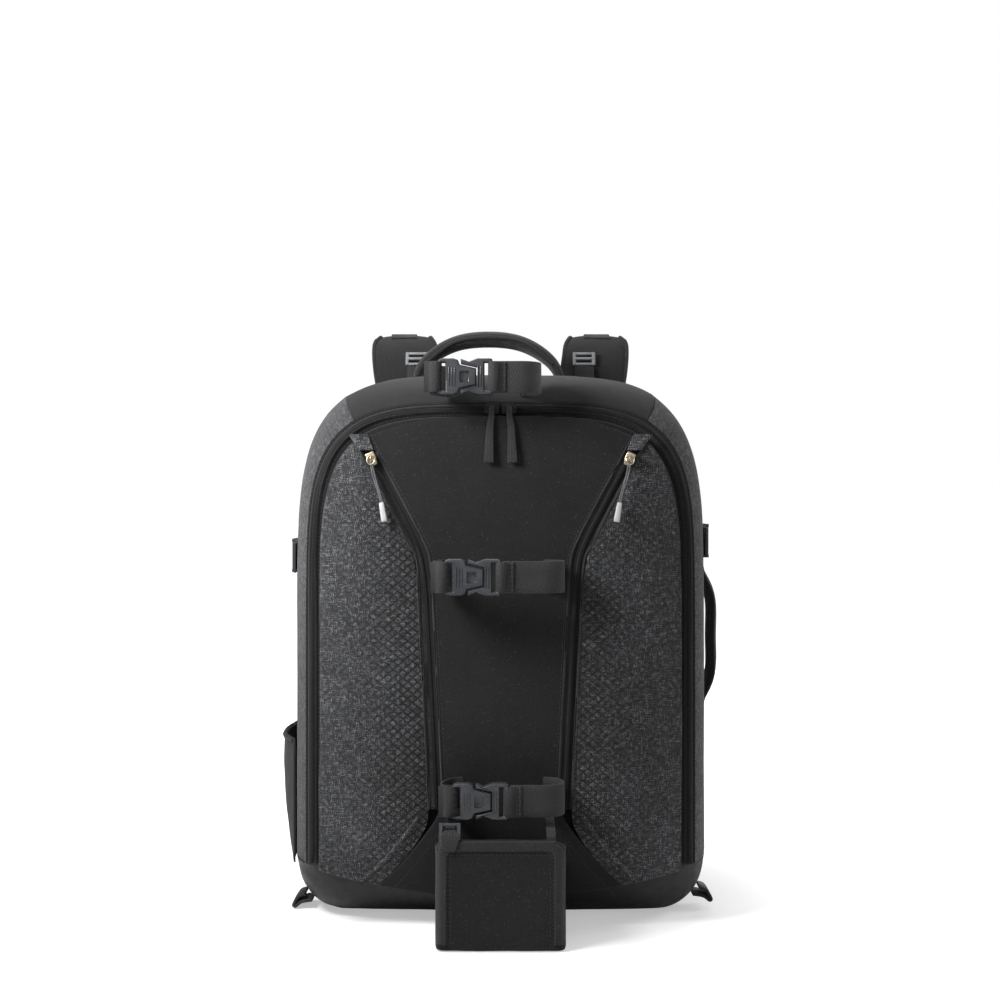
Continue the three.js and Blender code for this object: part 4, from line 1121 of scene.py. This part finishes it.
def makeMainZip():
    tape = softCopy("main_zip", "mainZipTape", levels=2, crease=0.9)
    surface = surfaceOf(tape)
    finish(tape, finishes["zipTape"], "zip_tape", "main_zip")
    line = smoothLine(inMetres(arch(mainZipSet["middle"])), mainZipSet["steps"])
    coilAlong(line, mainZipSet["tooth"], surface, "mainZipCoil")
    rollEdges(line, mainZipSet["lips"], surface, "mainZipLips", "zip_tape")
    lines = [offsetLine(line, offset) for offset in mainZipSet["stitchOffsets"]]
    sewRows(lines, surface, "front", "mainZipStitches", "thread", "zip_tape")
    for name in sides:
        slider = crispCopy(f"main_slider_{name}", f"mainSlider{name.title()}", edge=0.6)
        finish(slider, finishes["webDown"], "webbing", f"main_slider_{name}")


makeMainZip()
print("main zip is made")


# Tripod straps
strapNames = ("top_strap", "middle_strap", "lower_strap")
buckleSet = {
    "edge": 0.6,
    "ridge": {"female": (1.1, 1.2, 15), "male": (1.1, 1.2, 17)},
    "ridges": {"female": 3, "male": 2},
    "ridgeStart": 9.5,       # from the half's outer end
    "ridgePitch": 2.2,
    "ridgeSink": 0.1,
    "ridgeRound": 0.45,
    "window": (7.5, 4.8, 9),
    "windowStart": 21.5,
    "windowRound": 0.9,
}


def makeBuckle(strap, title):
    for half, way in (("female", 1), ("male", -1)):
        low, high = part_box(f"{strap}_{half}")
        body = crispCopy(f"{strap}_{half}", f"{title}{half.title()}", buckleSet["edge"])
        middle = (low.z + high.z) / 2 / mm
        face = low.y / mm
        end = (low.x if way > 0 else high.x) / mm
        ridges = []
        for k in range(buckleSet["ridges"][half]):
            x = end + way * (buckleSet["ridgeStart"] + k * buckleSet["ridgePitch"])
            ridges.append(roundedBox(buckleSet["ridge"][half], (x, face + buckleSet["ridgeSink"], middle),
                                     buckleSet["ridgeRound"], "ridge"))
        if half == "female":
            cutter = roundedBox(buckleSet["window"], (end + buckleSet["windowStart"], face, middle),
                                buckleSet["windowRound"], "cutter")
            addModifier(body, "BOOLEAN", object=cutter, operation="DIFFERENCE", solver="EXACT")
            bpy.data.objects.remove(cutter)
            smooth(body, 35)
        body = join([body, *ridges], f"{title}{half.title()}")
        finish(body, finishes["buckle"], "buckle_plastic", f"{strap}_{half}")


loopSet = {
    "width": 24.2,
    "wall": 1.5,
    "barInset": 1.8,
    # from the bar, outwards along the strap and towards the back
    "path": ((9, 1.6), (5, 1.7), (1.5, 1.2), (-1.2, -1.5), (-0.6, -3.6), (2.2, -5.0), (5.4, -4.2),
             (8, -2.2), (12, -1.4)),
    "tacks": (6.5, 9.0),     # rows of cross stitches, from the buckle's end
    "tackReach": 11,
}


# A loop of webbing round a buckle's bar, with the tail laid back on itself.
def barLoop(x, y, z, way, name):
    points = [Vector((x + way * a, y + b, z)) * mm for a, b in loopSet["path"]]
    return ribbon(smoothLine(points, 28), (0, 0, 1), loopSet["width"] * mm, loopSet["wall"] * mm, name)


def makeStraps():
    for strap in strapNames:
        title = strap.split("_")[0] + "Strap"
        stub = softCopy(f"{strap}_stub", f"{title}Short", levels=2, crease=0.9)
        web = softCopy(f"{strap}_web", f"{title}Long", levels=2, crease=0.9)
        makeBuckle(strap, title)
        low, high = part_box(f"{strap}_female")
        start = low.x / mm
        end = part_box(f"{strap}_male")[1].x / mm
        y, z = (low.y + high.y) / 2 / mm, (low.z + high.z) / 2 / mm
        leftLoop = barLoop(start + loopSet["barInset"], y, z, -1, "loop")
        rightLoop = barLoop(end - loopSet["barInset"], y, z, 1, "loop")
        stub = join([stub, leftLoop], f"{title}Short")
        web = join([web, rightLoop], f"{title}Long")
        finish(stub, finishes["webLeft"], "webbing", f"{strap}_stub")
        finish(web, finishes["webRight"], "webbing", f"{strap}_web")
        reach = loopSet["tackReach"]
        lines = [inMetres([(end + place, z - reach), (end + place, z + reach)]) for place in loopSet["tacks"]]
        sewRows(lines, surfaceOf(web), "front", f"{title}Tack", "paleThread", "webbing")


makeStraps()
print("tripod straps are made")


# Tripod cup
cupSet = {
    "half": 50.5,
    "top": 86.6,
    "foot": 0.6,
    "corner": 14,
    "cornerSteps": 8,
    "voxel": 1.3,
    "rounds": 8,
    "folds": (1.0, 40),
    "bindingInset": 5.2,
    "bindingHalf": 4.0,
    "bindingHeight": 1.5,
    "bindingEdge": 0.6,
    "stitchOffsets": (4.9, 6.9),
    "rimFront": -160,
    "rimBack": -108,
    "rimInset": 1.5,
    "rimSteps": 12,
    "rimRadius": 2.0,
    "lock": (17, 20),
    "lockPlace": (-39, -170.5, 88.5),
    "lockLean": 0.25,
}


def cupOutline(inset):
    half, top, foot = cupSet["half"] - inset, cupSet["top"] - inset, cupSet["foot"] + inset
    corner, steps = cupSet["corner"] - inset, cupSet["cornerSteps"]
    points = [(-half, foot)]
    for i in range(steps + 1):
        angle = math.radians(180 - 90 * i / steps)
        points.append((-half + corner + corner * math.cos(angle), top - corner + corner * math.sin(angle)))
    return points + [(-x, z) for x, z in reversed(points)]


# Points along an edge: a ray is sent from each start, and what it meets is kept.
def edgePoints(surface, starts, direction):
    hits = [surface.ray_cast(start * mm, direction)[0] for start in starts]
    return [place for place in hits if place is not None]


# Values at even steps from one to another.
def evenSteps(first, last, steps):
    return [first + (last - first) * k / steps for k in range(steps + 1)]


def bindCup(surface):
    line = smoothLine(inMetres(cupOutline(cupSet["bindingInset"])), 120)
    wide, high, edge = cupSet["bindingHalf"], cupSet["bindingHeight"], cupSet["bindingEdge"]
    section = [(-wide, 0), (-wide + edge, high * 0.8), (0, high), (wide - edge, high * 0.8), (wide, 0),
               (wide - edge, -edge), (-wide + edge, -edge)]
    binding = layOn(bandAlong(line, section, "cupBinding"), surface, "front")
    smooth(binding, 50)
    finish(binding, finishes["binding"], "black_fabric")
    lines = [offsetLine(line, offset) for offset in cupSet["stitchOffsets"]]
    sewRows(lines, surface, "front", "cupStitches", "thread", "black_fabric")
    rims = []
    places = evenSteps(cupSet["rimFront"], cupSet["rimBack"], cupSet["rimSteps"])
    for way in (-1, 1):
        x = way * (cupSet["half"] - cupSet["rimInset"])
        starts = [Vector((x, y, 200)) for y in places]
        rim = edgePoints(surface, starts, Vector((0, 0, -1)))
        rims.append(tube(smoothLine(rim, 60), cupSet["rimRadius"] * mm, "rim", 8))
    finish(join(rims, "cupRim"), finishes["binding"], "black_fabric")


def makeCup():
    cup = relaxedCopy("tripod_cup", "tripodCup", cupSet["voxel"], cupSet["rounds"])
    rumple(cup, *cupSet["folds"])
    surface = surfaceOf(cup)
    finish(cup, finishes["cup"], "black_fabric", "tripod_cup")
    bindCup(surface)
    lean = cupSet["lockLean"]
    lock = setDown(ladderLock(*cupSet["lock"], "cupLock"), Vector(cupSet["lockPlace"]) * mm, (0, lean, 1),
                   (0, -1, lean))
    finish(lock, finishes["buckle"], "buckle_plastic")
    for name in sides:
        webOf(f"cup_web_{name}", f"cupWeb{name.title()}", crease=0.8)


makeCup()
print("tripod cup is made")


# Sides
stretchPocketSet = {
    "folds": (1.4, 30),
    "rimHeight": 143.5,
    "rimFront": -56,
    "rimBack": 60,
    "rimSteps": 16,
    "rimRadius": 2.0,
    "rimOut": 0.4,
}
sideStrapSet = {
    "edge": 0.6,
    "lockShare": 0.58,     # along the strap, from its front end
    "lock": (30, 24),
    "lockSink": 0.4,
    "tacks": (0.05, 0.09, 0.91, 0.95),
    "tackReach": 10,
}
cornerTabSet = {
    "wall": 2.6,
    "width": 0.94,
    # shares of the tab's reach outwards and of its drop
    "fold": ((0, 0.10), (0.5, 0.22), (0.86, 0.62), (0.96, 0.84), (0.80, 0.90), (0.4, 0.66), (0, 0.56),
             (-0.6, 0.5)),
}
sideHandleSet = {
    "middle": 12,
    "outer": 4.5,
    "inner": 2.6,
    "rises": ((0, 6), (2, 14)),       # outwards from the inner face, and from each end
    "bend": 34,
    "edgeRadius": 1.4,
}


def makeStretchPocket():
    pocket = softCopy("side_pocket", "stretchPocket", levels=3, crease=0.5)
    sizes = stretchPocketSet
    rumple(pocket, *sizes["folds"])
    starts = [Vector((-300, y, sizes["rimHeight"]))
              for y in evenSteps(sizes["rimBack"], sizes["rimFront"], sizes["rimSteps"])]
    out = Vector((sizes["rimOut"] * mm, 0, 0))
    rim = [place + out for place in edgePoints(surfaceOf(pocket), starts, Vector((1, 0, 0)))]
    rim = tube(smoothLine(rim, 60), sizes["rimRadius"] * mm, "stretchPocketRim", 8)
    finish(rim, finishes["binding"], "webbing")
    finish(pocket, finishes["blackLeft"], "black_fabric", "side_pocket")


def makeSideStrap(name, side):
    title = name.title()
    strap = crispCopy(f"side_strap_{name}", f"sideStrap{title}", sideStrapSet["edge"])
    low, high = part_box(f"side_strap_{name}")
    face = (high.x if side > 0 else low.x) - side * sideStrapSet["lockSink"] * mm
    middle = (low.z + high.z) / 2
    length = high.y - low.y
    place = Vector((face, low.y + length * sideStrapSet["lockShare"], middle))
    lock = setDown(ladderLock(*sideStrapSet["lock"], f"sideLock{title}"), place, (0, 1, 0), (side, 0, 0))
    finish(lock, finishes["buckle"], "buckle_plastic")
    reach = sideStrapSet["tackReach"]
    lines = []
    for share in sideStrapSet["tacks"]:
        across = (low.y + length * share) / mm
        lines.append(inMetres([(across, middle / mm - reach), (across, middle / mm + reach)]))
    sewRows(lines, surfaceOf(strap), name, f"sideTacks{title}", "paleThread", "webbing")
    finish(strap, finishes[f"web{title}"], "webbing", f"side_strap_{name}")


def makeCornerTab(name, side):
    low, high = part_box(f"corner_tab_{name}")
    near, far = (high.x, low.x) if side < 0 else (low.x, high.x)
    middle = (low.y + high.y) / 2
    fold = [(near + (far - near) * a, middle, high.z - (high.z - low.z) * b) for a, b in cornerTabSet["fold"]]
    tab = ribbon(smoothLine(fold, 36), (0, 1, 0), (high.y - low.y) * cornerTabSet["width"],
                 cornerTabSet["wall"] * mm, f"cornerTab{name.title()}")
    finish(tab, finishes["webDown"], "webbing", f"corner_tab_{name}")


def makeSideHandle():
    handle = softCopy("side_handle", "sideHandle", levels=2, crease=0.3, sharp=60)
    low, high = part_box("side_handle")
    outer, inner = high.x - sideHandleSet["outer"] * mm, low.x + sideHandleSet["inner"] * mm
    y = sideHandleSet["middle"] * mm
    ends = [(inner + a * mm, b * mm) for a, b in sideHandleSet["rises"]]
    ends.append((outer, sideHandleSet["bend"] * mm))
    line = [(x, y, low.z + rise) for x, rise in ends]
    line.append((outer, y, (low.z + high.z) / 2))
    line += [(x, y, high.z - rise) for x, rise in reversed(ends)]
    bindEdges(surfaceOf(handle), smoothLine(line, 40), (0, 1, 0), sideHandleSet["edgeRadius"],
              "sideHandleEdges")
    finish(handle, finishes["meshSide"], "mesh_fabric", "side_handle")


def makeSides():
    makeStretchPocket()
    for name, side in sides.items():
        makeSideStrap(name, side)
        makeCornerTab(name, side)
    makeSideHandle()


makeSides()
print("sides are made")


# Harness
swellSet = {"voxel": 4.0, "relaxing": 5, "pressure": 4.0, "quality": 5, "frames": 15, "cap": 4.0}


# A pad swells a little under its cover: cloth with air pressure inside, stopped early.
def swell(piece):
    addModifier(piece, "REMESH", mode="VOXEL", voxel_size=swellSet["voxel"] * mm)
    addModifier(piece, "SMOOTH", factor=0.5, iterations=swellSet["relaxing"])
    rest = [vertex.co.copy() for vertex in piece.data.vertices]
    cloth = piece.modifiers.new("Cloth", "CLOTH")
    cloth.settings.use_pressure = True
    cloth.settings.uniform_pressure_force = swellSet["pressure"]
    cloth.settings.quality = swellSet["quality"]
    cloth.settings.effector_weights.gravity = 0
    scene = bpy.context.scene
    for frameNumber in range(1, swellSet["frames"] + 1):
        scene.frame_set(frameNumber)
    pick(piece)
    bpy.ops.object.modifier_apply(modifier="Cloth")
    cap = swellSet["cap"] * mm
    for vertex, start in zip(piece.data.vertices, rest):
        move = vertex.co - start
        if move.length > cap:
            vertex.co = start + move.normalized() * cap
    scene.frame_set(1)
    subdivide(piece, 1)
    smooth(piece, 80)
    return piece


harnessSet = {
    # middle line of a shoulder strap: rows hold shares of its spread, its reach behind the bag and its top
    "face": 100.75,
    "spread": 92,
    "reach": 76,
    "top": 506,
    "thickness": 12,
    "rows": ((0.717, 0.013, 0.767), (0.804, 0.013, 0.83), (0.935, 0.04, 0.893), (1, 0.158, 0.96),
             (1.022, 0.434, 1), (1.022, 0.763, 0.972), (0.978, 0.947, 0.87), (0.913, 1, 0.731),
             (1.022, 0.895, 0.593), (1.217, 0.71, 0.474), (1.348, 0.579, 0.403)),
    "steps": 66,
    "edgeRadius": 2.1,
    "webWidth": 25,
    "webWall": 1.6,
    "webLift": 0.6,
    "webFrom": 0.36,                 # share of the line
    "tacks": (1, 14, 27),            # steps from the webbing's start
    "tackShifts": (-1.6, 1.6),
    "tackLift": 1.0,
    "tackPitch": 1.3,
    "tackReach": 8,                  # stitch ends to each side of the middle
    "tailWidth": 19,
    "tail": ((-2, 0.6), (3, 0.4), (8, -1.6), (13, 2.6), (18, -1.6), (23, 0.2), (28, 0)),
    "strapLock": (29, 25),
    "lifterLock": (21.5, 13.5),
    "lifterLean": (0.34, 0.94),
}
ringSet = {
    "place": 0.62,                   # share of the line
    "size": 9,
    "wire": 1.3,
    "lift": 2.4,
    "lean": 0.12,
    "bow": ((-1, 0), (-0.94, -0.55), (-0.5, -1), (0, -1.12), (0.5, -1), (0.94, -0.55), (1, 0)),
    "barSteps": 6,
}
strapSideways = Vector((1, 0, 0))


def shoulderLine(side):
    base = harnessSet["face"] + harnessSet["thickness"] / 2
    points = []
    for a, b, c in harnessSet["rows"]:
        x, y, z = side * harnessSet["spread"] * a, base + harnessSet["reach"] * b, harnessSet["top"] * c
        points.append((x * mm, y * mm, z * mm))
    return smoothLine(points, harnessSet["steps"])


# A ring of bent wire, sewn to a strap's outer face at one step of its line.
def shoulderRing(face, place, title):
    ahead = aheadAt(face, place)
    out = strapSideways.cross(ahead)
    middle = face[place] + out * ringSet["lift"] * mm
    bent = []
    for a, b in ringSet["bow"]:
        aside, drop = a * ringSet["size"] * mm, b * ringSet["size"] * mm
        bent.append(middle + strapSideways * aside - ahead * drop + out * ringSet["lean"] * abs(drop))
    bent = smoothLine(bent, 30)
    steps, wire = ringSet["barSteps"], ringSet["wire"] * mm
    bar = [bent[-1] + (bent[0] - bent[-1]) * k / steps for k in range(steps)] + [bent[0]]
    ring = join([tube(bent, wire, "bow", 8), tube(bar, wire, "bar", 8)], f"shoulderRing{title}")
    finish(ring, finishes["buckle"], "buckle_plastic")


# Webbing down the outside of a shoulder strap, its cross stitches, a ring and the bound edges.
def trimShoulder(strap, line, title):
    surface = surfaceOf(strap)
    bindEdges(surface, line[3:-1], strapSideways, harnessSet["edgeRadius"], f"shoulderEdges{title}")
    start = int(len(line) * harnessSet["webFrom"])
    face = faceLine(surface, line, strapSideways, harnessSet["webLift"] * mm)
    web = ribbon(smoothLine(face[start::3], 80), strapSideways, harnessSet["webWidth"] * mm,
                 harnessSet["webWall"] * mm, f"shoulderWeb{title}")
    finish(web, finishes["webDown"], "webbing")
    rows = []
    reach = harnessSet["tackReach"]
    for place in (start + step for step in harnessSet["tacks"]):
        middle = face[place] + strapSideways.cross(aheadAt(face, place)) * harnessSet["tackLift"] * mm
        for shift in harnessSet["tackShifts"]:
            row = [middle + Vector((k * harnessSet["tackPitch"] * mm, 0, shift * mm))
                   for k in range(-reach, reach + 1)]
            rows.append(stitchesOn(row, "row"))
    finish(join(rows, f"shoulderTacks{title}"), finishes["paleThread"], "webbing")
    shoulderRing(face, int(len(line) * ringSet["place"]), title)


# The ladder lock at a shoulder strap's lower end, and the tail of webbing woven through it.
def lockShoulder(line, name, title):
    low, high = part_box(f"strap_lock_{name}")
    ahead = (line[-1] - line[-2]).normalized()
    out = strapSideways.cross(ahead)
    lock = setDown(ladderLock(*harnessSet["strapLock"], f"strapLock{title}"), (low + high) / 2, ahead, out)
    finish(lock, finishes["buckle"], "buckle_plastic", f"strap_lock_{name}")
    path = [line[-1] + ahead * a * mm + out * b * mm for a, b in harnessSet["tail"]]
    tail = ribbon(smoothLine(path, 40), strapSideways, harnessSet["tailWidth"] * mm,
                  harnessSet["webWall"] * mm, f"strapTail{title}")
    finish(tail, finishes["webDown"], "webbing")


def makeShoulder(name, side):
    title = name.title()
    pad = swell(copyOf(f"back_pad_{name}", f"backPad{title}"))
    finish(pad, finishes["mesh"], "mesh_fabric", f"back_pad_{name}")
    strap = softCopy(f"shoulder_strap_{name}", f"shoulderStrap{title}", levels=2, crease=0.3, sharp=60)
    line = shoulderLine(side)
    trimShoulder(strap, line, title)
    finish(strap, finishes["strapCover"], "mesh_fabric", f"shoulder_strap_{name}")
    lockShoulder(line, name, title)
    webOf(f"lower_web_{name}", f"lowerWeb{title}")
    webOf(f"lifter_web_{name}", f"lifterWeb{title}")
    low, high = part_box(f"lifter_buckle_{name}")
    back, up = harnessSet["lifterLean"]
    buckle = setDown(ladderLock(*harnessSet["lifterLock"], f"lifterBuckle{title}"), (low + high) / 2,
                     (0, back, up), (0, -up, back))
    finish(buckle, finishes["grayBuckle"], "gray_plastic", f"lifter_buckle_{name}")
    wing = softCopy(f"waist_wing_{name}", f"waistWing{title}", levels=2, crease=0.3, sharp=60)
    finish(wing, finishes["mesh"], "mesh_fabric", f"waist_wing_{name}")


grabSet = {
    "y": 64,
    "foot": 457.6,
    "sideInset": 4,
    "topInset": 5.5,
    # shares of half its width and of its rise
    "bow": ((-0.91, 0.375), (-0.5, 0.87), (0, 1), (0.5, 0.87), (0.91, 0.375)),
    "swell": 1.8,
    "edgeRadius": 1.8,
}


def makeGrabHandle():
    grab = softCopy("grab_handle", "grabHandle", levels=2, crease=0.3, sharp=60)
    low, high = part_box("grab_handle")
    foot = grabSet["foot"] * mm
    centre, half = (low.x + high.x) / 2, (high.x - low.x) / 2 - grabSet["sideInset"] * mm
    rise = high.z - grabSet["topInset"] * mm - foot
    bow = [(centre + a * half, grabSet["y"] * mm, foot + b * rise) for a, b in grabSet["bow"]]
    addModifier(grab, "DISPLACE", strength=grabSet["swell"] * mm, mid_level=0.0)
    bindEdges(surfaceOf(grab), smoothLine(bow, 40), (0, 1, 0), grabSet["edgeRadius"], "grabHandleEdges")
    finish(grab, finishes["meshTop"], "mesh_fabric", "grab_handle")


def makeHarness():
    for name, side in sides.items():
        makeShoulder(name, side)
    lumbar = swell(copyOf("lumbar_pad", "lumbarPad"))
    finish(lumbar, finishes["mesh"], "mesh_fabric", "lumbar_pad")
    buckle = crispCopy("waist_buckle", "waistBuckle", edge=0.9)
    finish(buckle, finishes["buckle"], "buckle_plastic", "waist_buckle")
    makeGrabHandle()


makeHarness()
print("harness is made")


# Floor, sky and lights
studioSet = {
    "floorSize": 40,
    "floorTone": 0.8,
    "glowNear": 0.42,
    "glowFar": 1.0,
    "nearEdge": 0.17,
    "farEdge": 0.4,
    "sky": 0.16,
    "aim": (0, 0, 0.24),
}
lamps = {
    "key": {"place": (-0.44, -0.42, 0.64), "size": 0.25, "power": 6.2},
    "fill": {"place": (0.35, -2.0, 0.9), "size": 1.6, "power": 6.0},
    "rim": {"place": (1.3, 0.35, 0.75), "size": 0.6, "power": 7.0},
    "top": {"place": (-0.2, 0.25, 1.6), "size": 1.0, "power": 7.0},
    "back": {"place": (0.5, 1.7, 0.7), "size": 1.2, "power": 14.0},
}


def makeFloor():
    bpy.ops.mesh.primitive_plane_add(size=studioSet["floorSize"], location=(0, 0, 0))
    floor = bpy.context.active_object
    floor.name = "studioFloor"
    material, tree, shader, coordinates = newMaterial("studioFloor", 0.9, specular=0.1)
    tone = studioSet["floorTone"]
    shader.inputs["Base Color"].default_value = (tone, tone, tone, 1)
    shader.inputs["Emission Color"].default_value = (1, 1, 1, 1)
    # The floor glows for the camera only, and more so away from the bag, so that no horizon shows.
    away = tree.nodes.new("ShaderNodeVectorMath")
    away.operation = "LENGTH"
    tree.links.new(coordinates, away.inputs[0])
    glow = mapRange(tree, away.outputs["Value"], studioSet["nearEdge"], studioSet["farEdge"],
                    studioSet["glowNear"], studioSet["glowFar"])
    seen = tree.nodes.new("ShaderNodeLightPath").outputs["Is Camera Ray"]
    tree.links.new(maths(tree, "MULTIPLY", glow, seen), shader.inputs["Emission Strength"])
    floor.data.materials.append(material)


def makeSky():
    world = bpy.data.worlds.new("studioSky")
    bpy.context.scene.world = world
    world.use_nodes = True
    tree = world.node_tree
    background = tree.nodes["Background"]
    background.inputs["Strength"].default_value = studioSet["sky"]
    seen = tree.nodes.new("ShaderNodeBackground")
    seen.inputs["Strength"].default_value = 1.0
    for node in (background, seen):
        node.inputs["Color"].default_value = (1, 1, 1, 1)
    choose = tree.nodes.new("ShaderNodeMixShader")
    tree.links.new(tree.nodes.new("ShaderNodeLightPath").outputs["Is Camera Ray"], choose.inputs[0])
    tree.links.new(background.outputs[0], choose.inputs[1])
    tree.links.new(seen.outputs[0], choose.inputs[2])
    tree.links.new(choose.outputs[0], tree.nodes["World Output"].inputs["Surface"])


def makeStudio():
    makeFloor()
    makeSky()
    for name, lamp in lamps.items():
        turn = (Vector(studioSet["aim"]) - Vector(lamp["place"])).to_track_quat("-Z", "Y").to_euler()
        bpy.ops.object.light_add(type="AREA", location=lamp["place"], rotation=turn)
        light = bpy.context.active_object
        light.name = name + "Light"
        light.data.size = lamp["size"]
        light.data.energy = lamp["power"]
    bpy.context.scene.view_settings.view_transform = "Standard"


makeStudio()
print("studio is made")
